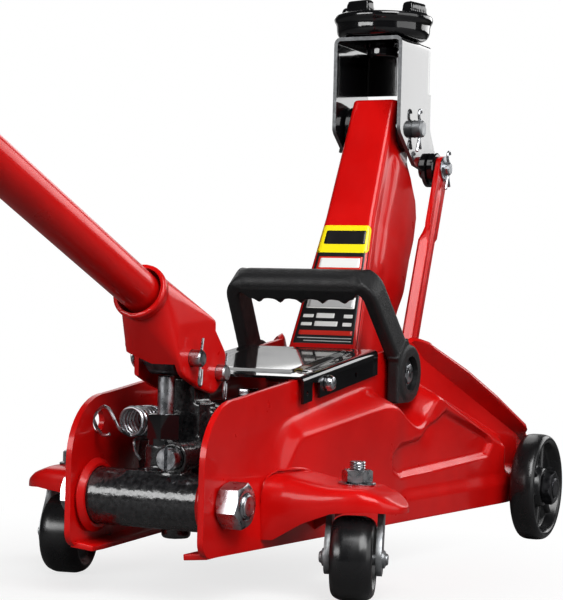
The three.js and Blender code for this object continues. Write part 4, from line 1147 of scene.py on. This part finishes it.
def bracket_half():
    half, top, bend = BRACKET_HIGH.y, BRACKET_HIGH.z, 4
    low = LINK_TOP.z - LOBE + 0.05
    heights = [low + 11 * (1 - math.cos(k / 8 * math.pi / 2)) for k in range(8)]
    heights += [mix(low + 11, FLANGE_FOOT - 0.2, k / 18) for k in range(19)]
    heights += [FLANGE_FOOT, FLANGE_FOOT + 1, FLANGE_FOOT + 3]
    heights += [mix(FLANGE_FOOT + 5, top - bend, k / 6) for k in range(7)]
    turns = [k / 5 * math.pi / 2 for k in range(1, 6)]
    rows = [(z, half) for z in heights]
    rows += [(top - bend + bend * math.sin(a), half - bend + bend * math.cos(a)) for a in turns]
    rows += [(top, mix(half - bend, 0, k / 5)) for k in range(1, 6)]
    radius = 3.5
    flange_rows = [z for z in heights if z >= FLANGE_FOOT]

    def side_point(u, v):
        z, y = rows[round(v * (len(rows) - 1))]
        rear, front = bracket_edges(z)
        if z in flange_rows:
            front -= radius
        return mix(rear, front, u), y, z

    def flange_point(u, v):
        """Round the front bend and on towards the middle of the jack."""
        k, z = round(u * 12), flange_rows[round(v * (len(flange_rows) - 1))]
        front = bracket_edges(z)[1]
        if k <= 6:
            a = k / 6 * math.pi / 2
            return front - radius + radius * math.sin(a), half - radius + radius * math.cos(a), z
        return front, mix(half - radius, 0.5, (k - 6) / 6), z

    return merge(grid(16, len(rows) - 1, side_point), grid(12, len(flange_rows) - 1, flange_point))


def bracket():
    shape = bracket_half()
    flipped = (shape[0], [tuple(reversed(face)) for face in shape[1]])
    both = merge(flipped, mirror(flipped))
    obj = piece("bracket", both, "saddle_mount", "black_paint", ("saddle_bracket",), closed=False,
                sheet=2.2, rim="raw_edge")
    carve(obj, rod_y(MAIN, -40, 40, 5.3), rod_y(LINK_TOP, -40, 40, 4.3))
    add_bevel(obj, 0.4)
    piece("main_rod", rod_y(MAIN, -27.4, 27.4, 5, 0.9), "saddle_mount", "grey_steel", ("main_pin",))
    piece("main_cotters", merge(cotter(MAIN, -24.6, 5), cotter(MAIN, 24.6, 5)), "saddle_mount", "zinc")
    pair("arm_washer", ring_y(MAIN, 14.4, 18.2, 13.5, 5.1, 0.5), "saddle_mount", "black_paint", "arm_spacer")
    pair("link_bush", ring_y(LINK_TOP, 21.8, 26.4, 9.6, 4.1, 0.7), "saddle_mount", "black_paint",
         "link_spacer")
    rod = merge(rod_y(LINK_TOP, 15.6, 34.4, 4, 0.8), ring_y(LINK_TOP, 15.5, 18, 6, 0.1),
                ring_y(LINK_TOP, 30.4, 31.4, 7.4, 4.05, 0.3), cotter(LINK_TOP, 32.8, 4))
    pair("link_rod_pin", rod, "saddle_mount", "zinc", "link_pin")
    foot = merge(rod_y(LINK_FOOT, 27.6, 35.4, 4), ring_y(LINK_FOOT, 35.1, 38, 6.5, 0.1, 0.8),
                 ring_y(LINK_FOOT, 28, 31.1, 6.5, 0.1, 0.5))
    pair("link_foot_pin", foot, "chassis", "zinc", "link_stub")


def link_bar():
    length, half = ARM_LENGTH, 7.5

    def point(u, v):
        if u < 0.16:
            s = -half * math.cos(u / 0.16 * math.pi / 2)
        elif u > 0.84:
            s = length + half * math.sin((u - 0.84) / 0.16 * math.pi / 2)
        else:
            s = mix(0, length, (u - 0.16) / 0.68)
        over = max(0, -s, s - length)
        width = math.sqrt(max(0, half ** 2 - over ** 2))
        across = width * (2 * v - 1)
        inner = mix(31.6, 27.2, clamp(s / length))
        rib = 0.9 * hump(across, 0, 2.2) * ease((s - 14) / 6) * ease((length - 14 - s) / 6)
        fold = 4.5 * ease((s - 9) / 9) * ease((length - 44 - s) / 9)
        fold *= ease((abs(across) / half - 0.66) / 0.34)
        c, sn = math.cos(ARM_ANGLE), math.sin(ARM_ANGLE)
        return LINK_FOOT.x + s * c - across * sn, inner + 3 + rib - fold, LINK_FOOT.z + s * sn + across * c

    return grid(60, 24, point)


def links():
    for side, turn in SIDES:
        obj = piece(f"{side}_link_bar", turn(link_bar()), f"{side}_link", "red_paint", (f"{side}_link_rod",),
                    closed=False, sheet=-3)
        add_bevel(obj, 0.6)


SADDLE_CUP = [(0, 296.9), (22.5, 296.9), (26, 298), (27.6, 300.5), (28, 306), (29.5, 308), (29.5, 310.4),
              (28.6, 311.2), (26, 311.2), (25, 309.8), (24, 304.6), (0, 304.4)]
# distance from the middle, half width and height of each row of corners of a lug
SADDLE_LUG = [(18.5, 8, 302), (26.5, 8, 302), (26.3, 7.8, 314), (25.7, 7.2, 317.2), (24.7, 6.4, 318),
              (20.4, 6.4, 318), (19.4, 7.2, 317), (18.8, 7.8, 312)]


def saddle():
    x = MAIN.x
    cup = lathe(rounded(SADDLE_CUP, 1.2, 3), (x, 0, 0), UP, 72)
    shapes = [cup, pin((x, 0, 288), (x, 0, 300), 7), pin((x, 0, 287), (x, 0, 293), 9.5, 0.8)]
    for degrees in (75, 165, 255, 345):
        a = math.radians(degrees)
        c, s = math.cos(a), math.sin(a)
        shapes.append(hull([(x + r * c - k * w * s, r * s + k * w * c, z)
                            for r, w, z in SADDLE_LUG for k in (-1, 1)]))
    obj = piece("saddle_cup_casting", merge(*shapes), "saddle_cup", "black_paint", ("saddle",))
    fuse(obj, 0.6, 3, 0.06, 2.5)


# ---- carry handle ----
CARRY_BACK, CARRY_RISE = 39, 49
CARRY_LEAN = math.atan2(CARRY_BACK, CARRY_RISE)
CARRY_REACH = math.hypot(CARRY_BACK, CARRY_RISE)


def carry_point(depth, y, rise):
    c, s = math.cos(CARRY_LEAN), math.sin(CARRY_LEAN)
    return PIVOT.x + depth * c - rise * s, y, PIVOT.z + depth * s + rise * c


def carry_path():
    """The handle's centre line as (y, rise): up one leg, along the grip and down the other leg."""
    top = CARRY_REACH + 6.5
    leg = [(50, 2), (49.2, 14), (47.8, 28), (46.4, 42), (45.2, CARRY_REACH - 8)]
    turns = [math.radians(10 * k) for k in range(1, 10)]
    corner = [(31 + 14 * math.cos(a), top - 14 + 14 * math.sin(a)) for a in turns]
    spine = leg + corner + [(y, top) for y in (24, 16, 8, 0)]
    spine += [(-y, h) for y, h in reversed(spine[:-1])]
    return [Vector((p.x, p.y)) for p in spline([(y, h, 0) for y, h in spine], 5)]


def carry_section():
    """Once round the handle's section, as (depth, share of its thickness)."""
    corners = [(-8, 0), (8, 0), (8, 1), (-8, 1)]
    section = []
    for (d0, t0), (d1, t1) in zip(corners, corners[1:] + corners[:1]):
        steps = 18 if t0 == t1 else 6
        section += [(mix(d0, d1, k / steps), mix(t0, t1, k / steps)) for k in range(steps)]
    return section


def carry_loop():
    """Flat legs that thicken into a grip with finger hollows on its underside."""
    path, section = carry_path(), carry_section()

    def point(u, v):
        k = round(u * (len(path) - 1))
        here = path[k]
        ahead = path[min(k + 1, len(path) - 1)] - path[max(k - 1, 0)]
        ahead.normalize()
        inward = Vector((-ahead.y, ahead.x))
        depth, share = section[round(v * len(section)) % len(section)]
        grip = ease((here.y - CARRY_REACH + 10) / 10) * ease((40 - abs(here.x)) / 6)
        thick = mix(7.8, 17.5, grip)
        if share > 0.5:
            thick -= grip * 3.6 * abs(math.sin(here.x / 12.8 * math.pi)) ** 0.8
        round_edge = mix(2, 7, grip)
        over = clamp((abs(depth) - 8 + round_edge) / round_edge)
        rim = round_edge * (1 - math.sqrt(1 - over * over)) * (1 if share < 0.5 else -0.4)
        place = here + inward * (thick * share + rim)
        return carry_point(depth, place.x, place.y)

    points, faces = grid(len(path) - 1, len(section), point, wrap_v=True)
    ring = len(section)
    last = (len(path) - 1) * ring
    return points, faces + [tuple(reversed(range(ring))), tuple(range(last, last + ring))]


def carry_handle():
    x, z = PIVOT.x, PIVOT.z
    shapes = [carry_loop()]
    for side in (1, -1):
        boss = [(0, 42.2), (15, 42.2), (15.9, 43), (16, 48.6), (15.2, 49.7), (14.2, 50), (0, 50)]
        shapes.append(lathe(boss, (x, 0, z), (0, side, 0), 64))
        shapes.append(hull([carry_point(depth, side * y, rise)
                            for depth in (-9, 9) for rise in (0, 18) for y in (42.6, 49.2)]))
        shapes.append(box_shape(x - 17, x, side * 45.8 - 3.2, side * 45.8 + 3.2, z - 16, z + 10))
    obj = piece("carry_loop", merge(*shapes), "carry_grip", "black_plastic", ("carry_handle",))
    fuse(obj, 0.7, 2)
    carve(obj, rod_y(PIVOT, 46.4, 60, 9.6, 0.01), rod_y(PIVOT, -60, -46.4, 9.6, 0.01),
          rod_y(PIVOT, -60, 60, 3.2, 0.01))
    hardware = merge(rod_y(PIVOT, 41.9, 49.2, 2.95), nut((x, 46.6, z), (x, 49.0, z), 10, 0),
                     ring_y(PIVOT, 46.2, 46.9, 8.4, 3, 0.2))
    pair("carry_fixing", hardware, "carry_grip", "zinc", "carry_screw")


# ---- return spring ----
# the wire's two ends: hooked through the side plate, and round the pump block
PLATE_HOOK = [(-322.7, 24, 75.5), (-322.5, 28, 74.8), (-320, 32.5, 77.5), (-318, 35.5, 80.5),
              (-318, 36.2, 82.5), (-319.8, 33, 85.5), (-322.5, 28.5, 88.2),
              (-323.6, 24.5, 87.6), (-324.4, 21, 83.3), (-323.2, 18.5, 78.2)]
PUMP_HOOK = [(-300, 12, 73.4), (-303, 13, 72.8), (-311, 16.6, 73), (-312.6, 16.6, 70), (-312, 15.6, 66),
             (-311, 13.8, 63.4)]


def spring():
    rear, front = Vector((-316, 17.2, 81.5)), Vector((-300.5, 13.6, 81.5))
    radius, turns, steps = 6.6, 7, 14
    count = turns * steps
    coil = []
    for k in range(count + 1):
        a = -math.pi / 2 - 2 * math.pi * k / steps
        coil.append(rear.lerp(front, k / count) + Vector((0, radius * math.cos(a), radius * math.sin(a))))
    path = [Vector(p) for p in PLATE_HOOK] + coil + [Vector(p) for p in PUMP_HOOK]
    piece("lever_spring", sweep(spline(path, 3), 0.8, 10), "chassis", "zinc", ("return_spring",))


# ---- stage ----
# fitted to the photograph's view
CAMERA_PLACE = (-1059.72, -415.19, 140.13)
CAMERA_YAW, CAMERA_ROLL = 0.447, 0.025
LOOK = (math.cos(CAMERA_YAW), math.sin(CAMERA_YAW), 0)
LENS, LENS_SHIFT, GAMMA = 116.0, (0.0066, 0.002), 0.85


def area_light(name, place, target, size, power, size_y=None):
    light = bpy.data.lights.new(name, "AREA")
    light.energy = power
    light.shape = "RECTANGLE"
    light.size = size
    light.size_y = size_y or size
    obj = new_object(name, light)
    obj.location = at(place)
    obj.rotation_euler = (at(target) - at(place)).to_track_quat("-Z", "Y").to_euler()


def floor_paper():
    """Pale paper under the jack that fades, for the camera, to the white of the backdrop further away."""
    paper = new_material("floor_paper", (0.8, 0.8, 0.8), 0.7)
    tree = paper.node_tree
    nodes, links = tree.nodes, tree.links
    path = add_node(tree, "ShaderNodeLightPath")
    tone = add_node(tree, "ShaderNodeMix", data_type="RGBA")
    tone.inputs["A"].default_value = (0.16, 0.16, 0.16, 1)
    tone.inputs["B"].default_value = (0.8, 0.8, 0.8, 1)
    links.new(path.outputs["Is Camera Ray"], tone.inputs["Factor"])
    links.new(tone.outputs["Result"], nodes["Principled BSDF"].inputs["Base Color"])
    place = add_node(tree, "ShaderNodeTexCoord")
    size = add_node(tree, "ShaderNodeVectorMath", operation="LENGTH")
    fade = add_node(tree, "ShaderNodeMapRange", {"From Min": 0.1, "From Max": 0.36, "To Min": 0.78},
                    interpolation_type="SMOOTHSTEP")
    seen = add_node(tree, "ShaderNodeMath", operation="MULTIPLY")
    glow = add_node(tree, "ShaderNodeEmission")
    blend = add_node(tree, "ShaderNodeMixShader")
    links.new(place.outputs["Object"], size.inputs[0])
    links.new(size.outputs["Value"], fade.inputs["Value"])
    links.new(fade.outputs["Result"], seen.inputs[0])
    links.new(path.outputs["Is Camera Ray"], seen.inputs[1])
    links.new(seen.outputs["Value"], blend.inputs["Fac"])
    links.new(nodes["Principled BSDF"].outputs["BSDF"], blend.inputs[1])
    links.new(glow.outputs["Emission"], blend.inputs[2])
    links.new(blend.outputs["Shader"], nodes["Material Output"].inputs["Surface"])
    return paper


def build_floor():
    size = 4000
    mesh = new_mesh("floor", grid(8, 8, lambda u, v: (mix(-size, size, u), mix(-size, size, v), -0.2)))
    floor = new_object("floor", mesh)
    mesh.materials.append(floor_paper())


def build_world():
    """A dark studio with a bright wall behind the jack, all of it white to the camera."""
    world = bpy.data.worlds.new("studio")
    bpy.context.scene.world = world
    world.use_nodes = True
    tree = world.node_tree
    links, background = tree.links, tree.nodes["Background"]
    path = add_node(tree, "ShaderNodeLightPath")
    tone = add_node(tree, "ShaderNodeMix", data_type="RGBA")
    tone.inputs["B"].default_value = (1, 1, 1, 1)
    place = add_node(tree, "ShaderNodeTexCoord")
    facing = add_node(tree, "ShaderNodeVectorMath", {1: LOOK}, operation="DOT_PRODUCT")
    glow = add_node(tree, "ShaderNodeMapRange",
                    {"From Min": 0.86, "From Max": 0.97, "To Min": 0.04, "To Max": 0.5},
                    interpolation_type="SMOOTHSTEP")
    links.new(place.outputs["Generated"], facing.inputs[0])
    links.new(facing.outputs["Value"], glow.inputs["Value"])
    links.new(glow.outputs["Result"], tone.inputs["A"])
    links.new(path.outputs["Is Camera Ray"], tone.inputs["Factor"])
    links.new(tone.outputs["Result"], background.inputs["Color"])
    background.inputs["Strength"].default_value = 1.0


def build_lights():
    middle_point = (-180, 0, 120)
    area_light("key", (-900, -700, 1100), middle_point, 0.9, 20)
    area_light("side", (-300, -1300, 500), middle_point, 1.4, 7, size_y=0.9)
    area_light("fill", (-1300, 520, 480), middle_point, 0.9, 8, size_y=0.4)
    area_light("back", (700, 600, 900), middle_point, 1.0, 4)
    area_light("panel", (760, -430, 500), (-57, 0, 270), 0.8, 2.6, size_y=0.4)


def build_camera():
    data = bpy.data.cameras.new("camera")
    data.sensor_fit = "HORIZONTAL"
    data.sensor_width = 36
    data.lens = LENS
    data.shift_x, data.shift_y = LENS_SHIFT
    data.clip_end = 50
    camera = new_object("camera", data)
    right = Vector((math.sin(CAMERA_YAW), -math.cos(CAMERA_YAW), 0))
    x_axis = right * math.cos(CAMERA_ROLL) + Vector(UP) * math.sin(CAMERA_ROLL)
    y_axis = -right * math.sin(CAMERA_ROLL) + Vector(UP) * math.cos(CAMERA_ROLL)
    turn = Matrix((x_axis, y_axis, -Vector(LOOK))).transposed().to_4x4()
    camera.matrix_world = Matrix.Translation(at(CAMERA_PLACE)) @ turn
    bpy.context.scene.camera = camera
    bpy.context.scene.view_settings.view_transform = "Standard"
    bpy.context.scene.view_settings.gamma = GAMMA


side_plates()
casters()
front_end()
handle_socket()
handle()
lever_hardware()
pump()
cylinder()
trunnion()
cover()
lift_arm()
arm_labels()
bracket()
links()
saddle()
carry_handle()
spring()
build_floor()
build_world()
build_lights()
build_camera()
